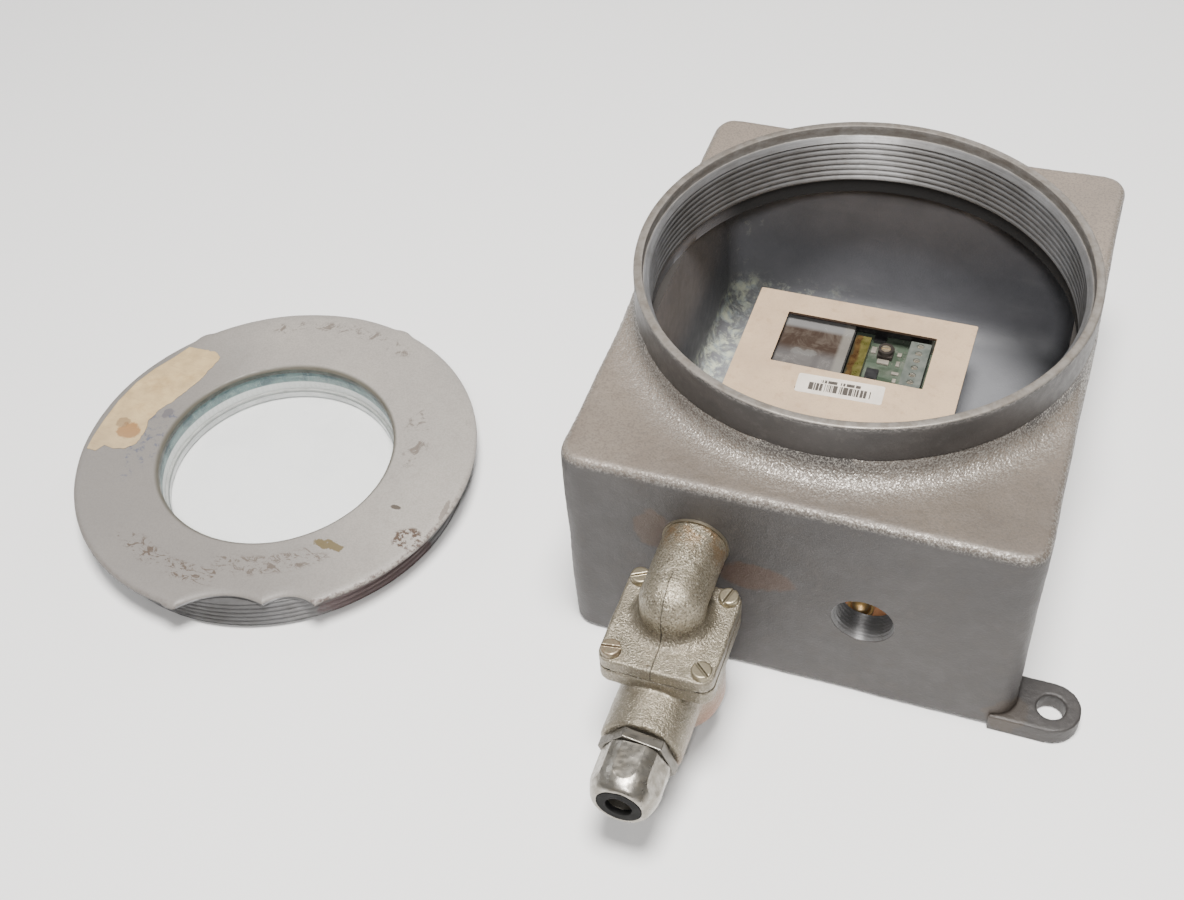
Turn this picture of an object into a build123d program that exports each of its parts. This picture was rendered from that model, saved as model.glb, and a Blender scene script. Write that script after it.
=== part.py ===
from build123d import *
import math
import os

# Flameproof instrument enclosure with an internally threaded round collar, its screwed
# sight-glass cover lying beside it, an instrument inside and a flanged cable entry elbow.
# Frame: origin at the middle of the enclosure's base, +X right along the front wall,
# +Y from the front wall to the back wall, +Z up.  Millimetres.

# ---- Enclosure casting ----
WIDTH = 197.0
DEPTH = 240.0
HEIGHT = 111.0
WALL = 10.0
FLOOR = 6.0
CEILING = 9.5
CEILING_Z = HEIGHT - CEILING
CORNER_R = 10.0
TOP_EDGE_R = 4.0
CAVITY_CORNER_R = 12.0
CAVITY_FLOOR_R = 11.0

# ---- Collar and its thread, M186 x 3 ----
COLLAR_R = 98.0
COLLAR_TOP = 138.0
COLLAR_BAND = 17.5
COLLAR_FLARE = 9.5
RIM_RECESS_R = 94.2
RIM_RECESS = 5.0
THREAD_PITCH = 3.0
COLLAR_TURNS = 8
BORE_MINOR_R = 91.4
BORE_MAJOR_R = 93.1
BORE_RELIEF_R = 92.4

# ---- Mounting lugs, one at each end of a diagonal ----
LUG_X = 112.7
LUG_Y = 109.5
LUG_R = 12.3
LUG_T = 9.0
LUG_HOLE_R = 6.0

# ---- Conduit entries through the front wall ----
FRONT_Y = -DEPTH / 2
CONDUIT_X = 32.1
CONDUIT_Z = 50.5
CONDUIT_R = 13.2
ENTRY_X = -38.6
ENTRY_Z = 77.3
ENTRY_HOLE_R = 11.5

# ---- Entry elbow and chamber ----
PIPE_R = 13.6
PIPE_BORE_R = 9.0
PIPE_SOCKET = 8.0
NIPPLE_BORE_R = 8.5
NIPPLE_STANDS_IN = 4.0
THREAD_GAP = 0.05
WASHER_T = 1.2
WASHER_PROUD = 0.6
ELBOW_Y = -151.0
FLANGE_Y = -155.3
FLANGE_SIDE = 48.0
FLANGE_TOP = 66.5
FLANGE_T = 6.0
GASKET_T = 0.8
GASKET_INSET = 0.5
FLANGE_CORNER_R = 6.0
FLANGE_EDGE_R = 1.2
SCREW_PITCH = 37.5
SCREW_HOLE_R = 2.7
SCREW_R = 2.5
SCREW_HEAD_R = 4.2
SCREW_HEAD_H = 3.0
SCREW_SLOT_W = 1.1
SCREW_SLOT_D = 1.2
SCREW_HEAD_EDGE_R = 0.8
# Slot directions: left front, left back, right front, right back.
SCREW_SLOT_DEG = (8.0, -152.0, -40.0, 74.0)
CHAMBER_R = 22.0
CHAMBER_BORE_R = 18.0
CHAMBER_MOUTH_R = 14.0
CHAMBER_BOTTOM = 17.0
CHAMBER_FLOOR = 4.0
CHAMBER_FLANGE_T = 7.5
CHAMBER_FOOT_R = 8.0
SPIGOT_Z = 38.0
SPIGOT_R = 17.0
SPIGOT_BORE_R = 10.0
SPIGOT_FRONT = -197.0
SPIGOT_CHAMFER = 1.0

# ---- Cable gland ----
GLAND_RING_T = 0.8
GLAND_RING_R = 13.0
HEX_AF = 28.4
HEX_T = 4.6
HEX_TURN_DEG = -11.0
HEX_BACK = SPIGOT_FRONT - GLAND_RING_T
NUT_BACK = HEX_BACK - HEX_T
NUT_GAP = 0.4
NUT_AF = 27.2
NECK_R = 11.4
NECK_LENGTH = 12.0
NECK_CLEARANCE = 0.3
SEAT_DEPTH = 2.0
GLAND_BORE_R = 7.0
GLAND_SEAT_R = 9.2
GLAND_NUT_R = 14.4
GLAND_NOSE_R = 10.6
NUT_STRAIGHT = 12.0
NUT_SHOULDER = (13.2, 17.4)
NUT_WELL = 15.9
GLAND_FRONT = -224.0
FRONT_RING_R = 9.4
FRONT_RING_T = 2.4
FRONT_RING_PROUD = 0.1
SLEEVE_R = 9.0
SLEEVE_PROUD = 2.0
SLEEVE_END_GAP = 0.3
SLIP_WASHER_R = 10.6
SLIP_WASHER_T = 1.4
SLIP_WASHER_CLEARANCE = 0.2
CABLE_R = 5.4
NUT_CABLE_R = 6.0

# ---- Cover, lying face up beside the enclosure ----
COVER_X = -267.7
COVER_Y = -79.8
COVER_TOP = 21.0
COVER_FLANGE_T = 3.0
COVER_R = 99.2
COVER_MAJOR_R = 92.8
COVER_MINOR_R = 91.1
COVER_TURNS = 6
COVER_BEVEL = 0.9
WINDOW_R = 57.8
WINDOW_BEVEL = 2.0
BEVEL_LIFT = 0.005
GLASS_R = 58.4
GLASS_CHAMFER = 0.8
SEAT_R = 61.0
GLASS_BOTTOM = 5.2
GLASS_TOP = 15.0
RING_SEAT = 4.0
RING_BOTTOM = 1.0
RING_INNER_R = 56.5
RING_OUTER_R = 70.7
RING_POCKET_R = 71.0
RING_SCREWS = 6
RING_SCREW_PITCH_R = 66.0
RING_SCREW_R = 1.95
RING_SCREW_HEAD_R = 3.6
RING_SCREW_SEAT = 2.5
RING_SCREW_HEAD_Z = 0.6
RING_SCREW_HOLE_R = 2.0
RING_SCREW_HOLE_TOP = 12.0
RING_HOLE_R = 2.2
RING_COUNTERBORE_R = 3.9
RING_SLOT_W = 0.9
LIP_UNDERSIDE = 16.4
LENS_GASKET_INNER_R = 57.0
LENS_GASKET_GAP = 0.1
# Knobs on the flange's edge: angle either side of the point opposite the wrench pocket.
KNOB_ANGLES = (32.8, -32.8, 160.9, -160.9)
KNOB_R = 8.8
KNOB_SETBACK = 7.4
KNOB_BLEND_R = 4.0
# Wrench pocket: two scallops that meet at a cusp, as angles from the pocket's axis and radii.
POCKET_AXIS_DEG = -72.7
POCKET_MOUTH_R = 101.5
POCKET_LOW_DEG = -18.2
POCKET_HIGH_DEG = 20.3
CUSP = (94.4, 6.3)
LOW_SCALLOP = (89.0, -3.3)
HIGH_SCALLOP = (91.8, 12.7)

# ---- Instrument inside ----
PLATE_X = -9.6
PLATE_Y = 31.0
PLATE_W = 109.0
PLATE_L = 90.0
PLATE_TOP = 42.4
PLATE_T = 1.5
PLATE_CORNER_R = 0.8
BOARD_TOP = 30.0
BOARD_T = 1.6
BOARD_X = -11.5
BOARD_W = 97.0
BOARD_L = 80.0
BOARD_CORNER_R = 2.0
CHASSIS_X = -14.0
CHASSIS_W = 92.0
CHASSIS_L = 80.0
CHASSIS_TOP = 12.5
CHASSIS_T = 1.5
CHASSIS_CORNER_R = 3.0
POST_DX = 41.0
POST_DY = 35.5
POST_X = -14.0
BOSS_R = 5.0
STUD_R = 1.5
STUD_LENGTH = 4.0
STUD_END_GAP = 0.8
STUD_HOLE_R = 1.7
TAPPED_HOLE_R = 1.65
TAPPED_CLEARANCE = 0.1
POST_AF = 6.0

# ---- Faceplate window, label and display ----
WINDOW_LOW_X = -46.4
WINDOW_HIGH_X = 27.6
WINDOW_LOW_Y = 26.2
WINDOW_HIGH_Y = 62.0
WINDOW_CORNER_R = 0.6
LABEL_X = -9.6
LABEL_Y = 15.8
LABEL_W = 41.5
LABEL_L = 12.4
LABEL_T = 0.2
LABEL_CORNER_R = 1.2
LABEL_TILT_DEG = 2.3
DISPLAY_LOW_X = -50.5
DISPLAY_HIGH_X = -12.3
DISPLAY_LOW_Y = 20.0
DISPLAY_HIGH_Y = 66.0
DISPLAY_TOP = 37.4
DISPLAY_GLASS_T = 1.1
DISPLAY_GLASS_INSET = 0.6
DISPLAY_CORNER_R = 0.5
FLEX_X = -7.9
FLEX_Y = 42.0
FLEX_W = 7.6
FLEX_L = 40.0
FLEX_H = 5.2
FLEX_CORNER_R = 0.4

# ---- Parts on the board ----
CHIP_H = 1.6
CHIP_CORNER_R = 0.3
# Each chip: plan centre, width and length.
CHIPS = [(0.6, 40.0, 6.0, 9.0), (10.0, 33.0, 7.0, 6.0), (-0.4, 66.5, 6.0, 5.0),
         (8.0, 12.0, 14.0, 9.0), (-28.0, 5.0, 12.0, 9.0)]
ADJUSTER_X = 4.2
ADJUSTER_Y = 57.0
ADJUSTER_FOOT = 7.6
ADJUSTER_FOOT_H = 2.4
ADJUSTER_R = 3.8
ADJUSTER_H = 4.6
ADJUSTER_SCREW_R = 2.3
ADJUSTER_GAP = 0.1
ADJUSTER_SCREW_H = 2.0
ADJUSTER_SLOT_W = 0.7
ADJUSTER_CORNER_R = 0.6
TERMINAL_X = 20.5
TERMINAL_Y = 44.0
TERMINAL_W = 10.0
TERMINAL_H = 8.0
TERMINAL_WAYS = 7
TERMINAL_STEP = 5.08
TERMINAL_WELL_R = 1.7
TERMINAL_WELL_FLOOR = 5.5
TERMINAL_SCREW_R = 1.6
TERMINAL_SCREW_H = 1.9
TERMINAL_SLOT_W = 0.6
TERMINAL_CORNER_R = 0.4


def rod(radius, low, high, x=0.0, y=0.0):
    """A vertical cylinder from z low to z high."""
    return Pos(x, y, (low + high) / 2) * Cylinder(radius, high - low)


def rod_y(radius, low, high, x, z):
    """A cylinder along Y from y low to y high."""
    return Pos(x, (low + high) / 2, z) * Rot(90, 0, 0) * Cylinder(radius, high - low)


def slab(width, length, low, high, x=0.0, y=0.0, corner=0.0):
    """A block from z low to z high whose vertical edges have the corner radius."""
    block = Pos(x, y, (low + high) / 2) * Box(width, length, high - low)
    if corner > 0:
        block = fillet(block.edges().filter_by(Axis.Z), corner)
    return block


def hex_y(across_flats, low, high, x, z, turn=0.0):
    """A hexagonal prism along Y, one flat facing up unless it is turned."""
    outline = RegularPolygon(across_flats / math.sqrt(3), 6, rotation=turn)
    prism = extrude(outline, high - low)
    return Pos(x, high, z) * Rot(90, 0, 0) * prism


def ridges(root_r, crest_r, low, pitch, turns):
    """Ring of V-shaped thread ridges, as one solid of revolution with a wide core."""
    points = [(0, low), (root_r, low)]
    for turn in range(turns):
        start = low + turn * pitch
        points.append((root_r, start + 0.15 * pitch))
        points.append((crest_r, start + 0.45 * pitch))
        points.append((crest_r, start + 0.55 * pitch))
        points.append((root_r, start + 0.85 * pitch))
    high = low + turns * pitch
    points.append((root_r, high))
    points.append((0, high))
    profile = Plane.XZ * make_face(Polyline(*points, close=True))
    return revolve(profile, Axis.Z)


def ring(outer_r, inner_r, low, high):
    """A flat ring about the Z axis from z low to z high."""
    return rod(outer_r, low, high) - rod(inner_r, low - 1, high + 1)


def ring_y(outer_r, inner_r, low, high, x, z):
    """A flat ring about an axis along Y."""
    return rod_y(outer_r, low, high, x, z) - rod_y(inner_r, low - 1, high + 1, x, z)


def polar(radius, degrees):
    """A point on a circle about the cover's axis, in the cover's own plan."""
    angle = math.radians(degrees)
    return (radius * math.cos(angle), radius * math.sin(angle))


def post_places():
    """Plan positions of the four posts that carry the instrument."""
    return [(POST_X + sx * POST_DX, PLATE_Y + sy * POST_DY) for sx in (-1, 1) for sy in (-1, 1)]


def flange_screw_places():
    """Plan positions of the four flange screws."""
    half = SCREW_PITCH / 2
    return [(ENTRY_X + sx * half, FLANGE_Y + sy * half) for sx in (-1, 1) for sy in (-1, 1)]


def ring_screw_places():
    """Plan positions of the retaining ring's screws, about the cover's axis."""
    step = 360 / RING_SCREWS
    return [polar(RING_SCREW_PITCH_R, step * index) for index in range(RING_SCREWS)]


# ---------------------------------------------------------------- enclosure
# The enclosure is a single casting.  It is three nodes that meet face to face: the box up
# to its ceiling, the top plate with the collar, and the two lugs.

def enclosure_block():
    """The outer block with its rounded vertical corners and top edge."""
    block = slab(WIDTH, DEPTH, 0, HEIGHT, corner=CORNER_R)
    return fillet(block.edges().group_by(Axis.Z)[-1], TOP_EDGE_R)


def make_enclosure_box():
    """Floor and four walls, open at the top, with both conduit entries and four bosses."""
    hollow = slab(WIDTH - 2 * WALL, DEPTH - 2 * WALL, FLOOR, HEIGHT, corner=CAVITY_CORNER_R)
    hollow = fillet(hollow.edges().group_by(Axis.Z)[0], CAVITY_FLOOR_R)
    body = enclosure_block() - hollow
    body = body - slab(WIDTH + 2, DEPTH + 2, CEILING_Z, HEIGHT + 1)
    wall_low = FRONT_Y - 1
    wall_high = FRONT_Y + WALL + 1
    body = body - rod_y(CONDUIT_R, wall_low, wall_high, CONDUIT_X, CONDUIT_Z)
    body = body - rod_y(ENTRY_HOLE_R, wall_low, wall_high, ENTRY_X, ENTRY_Z)
    for x, y in post_places():
        body = body + rod(BOSS_R, FLOOR - 1, CHASSIS_TOP - CHASSIS_T, x, y)
        body = body - rod(TAPPED_HOLE_R, FLOOR, CHASSIS_TOP, x, y)
    return body


def collar_blank():
    """The collar without its bore, flaring out into the top plate."""
    band_low = COLLAR_TOP - COLLAR_BAND
    flare_r = COLLAR_R + COLLAR_FLARE
    with BuildSketch(Plane.XZ) as profile:
        with BuildLine():
            Polyline((0, CEILING_Z), (flare_r, CEILING_Z), (flare_r, HEIGHT))
            RadiusArc((flare_r, HEIGHT), (COLLAR_R, band_low), COLLAR_FLARE)
            Polyline((COLLAR_R, band_low), (COLLAR_R, COLLAR_TOP), (0, COLLAR_TOP), (0, CEILING_Z))
        make_face()
    plan = slab(WIDTH, DEPTH, 0, COLLAR_TOP, corner=CORNER_R)
    return revolve(profile.sketch, Axis.Z) & plan


def collar_bore():
    """The threaded opening, with a plain recess inside the rim and a relief below."""
    thread_low = COLLAR_TOP - RIM_RECESS - COLLAR_TURNS * THREAD_PITCH
    thread = ridges(BORE_MINOR_R, BORE_MAJOR_R, thread_low, THREAD_PITCH, COLLAR_TURNS)
    relief = rod(BORE_RELIEF_R, CEILING_Z - 1, thread_low + THREAD_PITCH / 6)
    recess = rod(RIM_RECESS_R, COLLAR_TOP - RIM_RECESS, COLLAR_TOP + 1)
    return thread + relief + recess


def make_enclosure_collar():
    """Top plate and threaded collar."""
    plate = enclosure_block() - slab(WIDTH + 2, DEPTH + 2, -1, CEILING_Z)
    return plate + collar_blank() - collar_bore()


def make_lugs():
    """Mounting lugs at the front right and the back left corners."""
    wall = slab(WIDTH, DEPTH, -1, HEIGHT, corner=CORNER_R)
    root_x = WIDTH / 2 - CORNER_R
    arm = Pos((root_x + LUG_X) / 2, -LUG_Y, LUG_T / 2) * Box(LUG_X - root_x, 2 * LUG_R, LUG_T)
    lug = arm + rod(LUG_R, 0, LUG_T, LUG_X, -LUG_Y) - rod(LUG_HOLE_R, -1, LUG_T + 1, LUG_X, -LUG_Y)
    front_right = lug - wall
    return [front_right, Rot(0, 0, 180) * front_right]


# --------------------------------------------------------------- instrument

def make_chassis():
    """Sheet tray under the board, held by the lower posts' studs."""
    low = CHASSIS_TOP - CHASSIS_T
    plate = slab(CHASSIS_W, CHASSIS_L, low, CHASSIS_TOP, CHASSIS_X, PLATE_Y, CHASSIS_CORNER_R)
    for x, y in post_places():
        plate = plate - rod(STUD_HOLE_R, low - 1, CHASSIS_TOP + 1, x, y)
    return plate


def hex_post(low, high, x, y):
    """A hexagonal spacer."""
    return Pos(x, y, low) * extrude(RegularPolygon(POST_AF / math.sqrt(3), 6), high - low)


def make_lower_posts():
    """Spacers between chassis and board, each tapped at its head for the stud above."""
    posts = []
    head = BOARD_TOP - BOARD_T
    for x, y in post_places():
        post = hex_post(CHASSIS_TOP, head, x, y)
        post = post + rod(STUD_R, FLOOR + STUD_END_GAP, CHASSIS_TOP, x, y)
        tapped = rod(STUD_R + TAPPED_CLEARANCE, head - STUD_LENGTH - 1, head + 1, x, y)
        posts.append(post - tapped)
    return posts


def make_board():
    """Printed circuit board."""
    low = BOARD_TOP - BOARD_T
    board = slab(BOARD_W, BOARD_L, low, BOARD_TOP, BOARD_X, PLATE_Y, BOARD_CORNER_R)
    for x, y in post_places():
        board = board - rod(STUD_HOLE_R, low - 1, BOARD_TOP + 1, x, y)
    return board


def make_upper_posts():
    """Spacers between board and faceplate, each with a stud into the post below."""
    posts = []
    for x, y in post_places():
        post = hex_post(BOARD_TOP, PLATE_TOP - PLATE_T, x, y)
        posts.append(post + rod(STUD_R, BOARD_TOP - BOARD_T - STUD_LENGTH, BOARD_TOP, x, y))
    return posts


def slab_between(low_x, high_x, low_y, high_y, low, high, inset=0.0, corner=0.0):
    """A block given by its plan limits, drawn in on every side by the inset."""
    width = high_x - low_x - 2 * inset
    length = high_y - low_y - 2 * inset
    return slab(width, length, low, high, (low_x + high_x) / 2, (low_y + high_y) / 2, corner)


def make_faceplate():
    """Instrument faceplate with its rectangular window."""
    low = PLATE_TOP - PLATE_T
    plate = slab(PLATE_W, PLATE_L, low, PLATE_TOP, PLATE_X, PLATE_Y, PLATE_CORNER_R)
    window = slab_between(WINDOW_LOW_X, WINDOW_HIGH_X, WINDOW_LOW_Y, WINDOW_HIGH_Y,
                          low - 1, PLATE_TOP + 1, corner=WINDOW_CORNER_R)
    return plate - window


def make_label():
    """Paper label on the faceplate, slightly askew."""
    flat = Box(LABEL_W, LABEL_L, LABEL_T)
    flat = fillet(flat.edges().filter_by(Axis.Z), LABEL_CORNER_R)
    return Pos(LABEL_X, LABEL_Y, PLATE_TOP + LABEL_T / 2) * Rot(0, 0, LABEL_TILT_DEG) * flat


def make_display_frame():
    """Plastic block that carries the display glass."""
    return slab_between(DISPLAY_LOW_X, DISPLAY_HIGH_X, DISPLAY_LOW_Y, DISPLAY_HIGH_Y,
                        BOARD_TOP, DISPLAY_TOP - DISPLAY_GLASS_T, corner=DISPLAY_CORNER_R)


def make_display_glass():
    """Display glass on top of its frame."""
    return slab_between(DISPLAY_LOW_X, DISPLAY_HIGH_X, DISPLAY_LOW_Y, DISPLAY_HIGH_Y,
                        DISPLAY_TOP - DISPLAY_GLASS_T, DISPLAY_TOP,
                        DISPLAY_GLASS_INSET, DISPLAY_CORNER_R)


def make_flex_strip():
    """Ribbon that folds down from the display's edge to the board."""
    return slab(FLEX_W, FLEX_L, BOARD_TOP, BOARD_TOP + FLEX_H, FLEX_X, FLEX_Y, FLEX_CORNER_R)


def make_chips():
    """Surface-mounted packages on the board."""
    high = BOARD_TOP + CHIP_H
    return [slab(w, l, BOARD_TOP, high, x, y, CHIP_CORNER_R) for x, y, w, l in CHIPS]


def make_adjuster_body():
    """Round trimmer housing with a square foot on the board."""
    foot_top = BOARD_TOP + ADJUSTER_FOOT_H
    foot = slab(ADJUSTER_FOOT, ADJUSTER_FOOT, BOARD_TOP, foot_top, ADJUSTER_X, ADJUSTER_Y,
                ADJUSTER_CORNER_R)
    drum = ring(ADJUSTER_R, ADJUSTER_SCREW_R + ADJUSTER_GAP, foot_top, BOARD_TOP + ADJUSTER_H)
    return foot + Pos(ADJUSTER_X, ADJUSTER_Y, 0) * drum


def slotted_disc(radius, low, high, x, y, slot_w, slot_floor):
    """A round screw head whose slot runs right across it along X."""
    slot = slab(2 * radius + 1, slot_w, slot_floor, high + 1, x, y)
    return rod(radius, low, high, x, y) - slot


def make_adjuster_screw():
    """Slotted brass screw of the trimmer."""
    low = BOARD_TOP + ADJUSTER_FOOT_H
    high = low + ADJUSTER_SCREW_H
    return slotted_disc(ADJUSTER_SCREW_R, low, high, ADJUSTER_X, ADJUSTER_Y,
                        ADJUSTER_SLOT_W, high - ADJUSTER_SLOT_W)


def terminal_places():
    """Plan Y of each way of the terminal block."""
    middle = (TERMINAL_WAYS - 1) / 2
    return [TERMINAL_Y + (way - middle) * TERMINAL_STEP for way in range(TERMINAL_WAYS)]


def make_terminals():
    """Terminal block along the board's right edge, with a screw well for each way."""
    length = TERMINAL_WAYS * TERMINAL_STEP
    high = BOARD_TOP + TERMINAL_H
    block = slab(TERMINAL_W, length, BOARD_TOP, high, TERMINAL_X, TERMINAL_Y, TERMINAL_CORNER_R)
    for y in terminal_places():
        block = block - rod(TERMINAL_WELL_R, BOARD_TOP + TERMINAL_WELL_FLOOR, high + 1, TERMINAL_X, y)
    return block


def make_terminal_screws():
    """One slotted screw in each well of the terminal block."""
    low = BOARD_TOP + TERMINAL_WELL_FLOOR
    high = low + TERMINAL_SCREW_H
    return [slotted_disc(TERMINAL_SCREW_R, low, high, TERMINAL_X, y,
                         TERMINAL_SLOT_W, high - TERMINAL_SLOT_W) for y in terminal_places()]


# -------------------------------------------------------------- cable entry

def make_nipple():
    """Threaded pipe nipple that joins the elbow to the front wall."""
    inner_end = FRONT_Y + WALL + NIPPLE_STANDS_IN
    outer_end = FRONT_Y - WASHER_T - PIPE_SOCKET
    outer_r = ENTRY_HOLE_R - THREAD_GAP
    return ring_y(outer_r, NIPPLE_BORE_R, outer_end, inner_end, ENTRY_X, ENTRY_Z)


def make_entry_washer():
    """Sealing washer between the elbow and the wall."""
    outer_r = PIPE_R + WASHER_PROUD
    return ring_y(outer_r, ENTRY_HOLE_R, FRONT_Y - WASHER_T, FRONT_Y, ENTRY_X, ENTRY_Z)


def flange_plate(low, high, edge_group):
    """Square flange with rounded corners; edge_group 0 rounds its lower edge, -1 its upper."""
    plate = slab(FLANGE_SIDE, FLANGE_SIDE, low, high, ENTRY_X, FLANGE_Y, FLANGE_CORNER_R)
    return fillet(plate.edges().group_by(Axis.Z)[edge_group], FLANGE_EDGE_R)


def make_elbow():
    """Upper casting: a pipe from the wall that turns down into a square flange."""
    face_y = FRONT_Y - WASHER_T
    underside = FLANGE_TOP - FLANGE_T
    pipe = rod_y(PIPE_R, ELBOW_Y, face_y, ENTRY_X, ENTRY_Z)
    bend = Pos(ENTRY_X, ELBOW_Y, ENTRY_Z) * Sphere(PIPE_R)
    drop = rod(PIPE_R, underside, ENTRY_Z, ENTRY_X, ELBOW_Y)
    body = flange_plate(underside, FLANGE_TOP, -1) + pipe + bend + drop
    body = body - rod_y(PIPE_BORE_R, ELBOW_Y, face_y + 1, ENTRY_X, ENTRY_Z)
    body = body - Pos(ENTRY_X, ELBOW_Y, ENTRY_Z) * Sphere(PIPE_BORE_R)
    body = body - rod(PIPE_BORE_R, underside - 1, ENTRY_Z, ENTRY_X, ELBOW_Y)
    body = body - rod_y(ENTRY_HOLE_R, face_y - PIPE_SOCKET, face_y + 1, ENTRY_X, ENTRY_Z)
    for x, y in flange_screw_places():
        body = body - rod(SCREW_HOLE_R, underside - 1, FLANGE_TOP + 1, x, y)
    return body


def make_gasket():
    """Flat gasket between the two flanges."""
    high = FLANGE_TOP - FLANGE_T
    low = high - GASKET_T
    side = FLANGE_SIDE - 2 * GASKET_INSET
    sheet = slab(side, side, low, high, ENTRY_X, FLANGE_Y, FLANGE_CORNER_R)
    sheet = sheet - rod(CHAMBER_MOUTH_R, low - 1, high + 1, ENTRY_X, FLANGE_Y)
    for x, y in flange_screw_places():
        sheet = sheet - rod(SCREW_HOLE_R, low - 1, high + 1, x, y)
    return sheet


def make_chamber():
    """Lower casting: a flanged round bowl with a horizontal spigot for the gland."""
    top = FLANGE_TOP - FLANGE_T - GASKET_T
    flange_low = top - CHAMBER_FLANGE_T
    bowl = rod(CHAMBER_R, CHAMBER_BOTTOM, top, ENTRY_X, FLANGE_Y)
    bowl = fillet(bowl.edges().group_by(Axis.Z)[0], CHAMBER_FOOT_R)
    spigot = rod_y(SPIGOT_R, SPIGOT_FRONT, FLANGE_Y, ENTRY_X, SPIGOT_Z)
    spigot = chamfer(spigot.edges().group_by(Axis.Y)[0], SPIGOT_CHAMFER)
    body = bowl + flange_plate(flange_low, top, 0) + spigot
    hollow_low = CHAMBER_BOTTOM + CHAMBER_FLOOR
    hollow_high = flange_low - 2
    hollow = rod(CHAMBER_BORE_R, hollow_low, hollow_high, ENTRY_X, FLANGE_Y)
    hollow = fillet(hollow.edges().group_by(Axis.Z)[0], CHAMBER_FOOT_R - CHAMBER_FLOOR + 1)
    body = body - hollow
    body = body - rod(CHAMBER_MOUTH_R, hollow_high - 1, top + 1, ENTRY_X, FLANGE_Y)
    body = body - rod_y(SPIGOT_BORE_R, SPIGOT_FRONT - 1, FLANGE_Y, ENTRY_X, SPIGOT_Z)
    for x, y in flange_screw_places():
        body = body - rod(SCREW_R, flange_low - 1, top + 1, x, y)
    return body


def cheese_screw(x, y, seat, shank_low, slot_deg):
    """A slotted cheese-head screw whose head rests at z seat."""
    head_top = seat + SCREW_HEAD_H
    head = rod(SCREW_HEAD_R, seat, head_top, x, y)
    head = fillet(head.edges().group_by(Axis.Z)[-1], SCREW_HEAD_EDGE_R)
    slot = Box(3 * SCREW_HEAD_R, SCREW_SLOT_W, 2 * SCREW_SLOT_D)
    slot = Pos(x, y, head_top) * Rot(0, 0, slot_deg) * slot
    return (head - slot) + rod(SCREW_R, shank_low, seat, x, y)


def make_flange_screws():
    """Four slotted screws that clamp the elbow to the chamber."""
    low = FLANGE_TOP - FLANGE_T - GASKET_T - CHAMBER_FLANGE_T
    places = zip(flange_screw_places(), SCREW_SLOT_DEG)
    return [cheese_screw(x, y, FLANGE_TOP, low, slot_deg) for (x, y), slot_deg in places]


def make_gland_ring():
    """Sealing ring between the gland body and the spigot."""
    return ring_y(GLAND_RING_R, SPIGOT_BORE_R, HEX_BACK, SPIGOT_FRONT, ENTRY_X, SPIGOT_Z)


def make_gland_body():
    """Hexagon with a thread each side: one in the spigot, one for the nut."""
    neck_end = NUT_BACK - NECK_LENGTH
    tail_end = SPIGOT_FRONT + NECK_LENGTH
    hexagon = hex_y(HEX_AF, NUT_BACK, HEX_BACK, ENTRY_X, SPIGOT_Z, HEX_TURN_DEG)
    tail = rod_y(SPIGOT_BORE_R - THREAD_GAP, HEX_BACK, tail_end, ENTRY_X, SPIGOT_Z)
    neck = rod_y(NECK_R, neck_end, NUT_BACK, ENTRY_X, SPIGOT_Z)
    body = hexagon + tail + neck
    body = body - rod_y(GLAND_BORE_R, neck_end - 1, tail_end + 1, ENTRY_X, SPIGOT_Z)
    return body - rod_y(GLAND_SEAT_R, neck_end - 1, NUT_BACK - SEAT_DEPTH, ENTRY_X, SPIGOT_Z)


def make_gland_seal():
    """Rubber compression sleeve that grips the cable."""
    front = NUT_BACK - NECK_LENGTH - SLEEVE_PROUD
    back = NUT_BACK - SEAT_DEPTH - SLEEVE_END_GAP
    return ring_y(SLEEVE_R, CABLE_R, front, back, ENTRY_X, SPIGOT_Z)


def make_slip_washer():
    """Plain washer between the nut and the sleeve."""
    high = NUT_BACK - NECK_LENGTH - SLEEVE_PROUD - NUT_GAP
    bore_r = CABLE_R + SLIP_WASHER_CLEARANCE
    return ring_y(SLIP_WASHER_R, bore_r, high - SLIP_WASHER_T, high, ENTRY_X, SPIGOT_Z)


def make_front_ring():
    """Black ring in the mouth of the nut, round the cable hole."""
    back = GLAND_FRONT + FRONT_RING_T
    return ring_y(FRONT_RING_R, CABLE_R, GLAND_FRONT - FRONT_RING_PROUD, back, ENTRY_X, SPIGOT_Z)


def make_gland_nut():
    """Domed gland nut: six flats at the back, a rounded nose and a wide mouth."""
    back = NUT_BACK - NUT_GAP
    length = back - GLAND_FRONT
    with BuildSketch(Plane.XY) as profile:
        with BuildLine():
            Polyline((0, 0), (GLAND_NUT_R, 0), (GLAND_NUT_R, NUT_STRAIGHT))
            Spline((GLAND_NUT_R, NUT_STRAIGHT), NUT_SHOULDER, (GLAND_NOSE_R, length),
                   tangents=((0, 1), (-1, 0.45)))
            Polyline((GLAND_NOSE_R, length), (0, length), (0, 0))
        make_face()
    dome = revolve(profile.sketch, Axis.Y)
    nut = Pos(ENTRY_X, back, SPIGOT_Z) * Rot(180, 0, 0) * dome
    nut = nut & hex_y(NUT_AF, GLAND_FRONT - 1, back, ENTRY_X, SPIGOT_Z)
    well_floor = NUT_BACK - NUT_WELL
    nut = nut - rod_y(NECK_R + NECK_CLEARANCE, well_floor, back + 1, ENTRY_X, SPIGOT_Z)
    mouth_floor = GLAND_FRONT + FRONT_RING_T
    nut = nut - rod_y(FRONT_RING_R, GLAND_FRONT - 1, mouth_floor, ENTRY_X, SPIGOT_Z)
    return nut - rod_y(NUT_CABLE_R, GLAND_FRONT - 1, back, ENTRY_X, SPIGOT_Z)


# -------------------------------------------------------------------- cover

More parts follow.
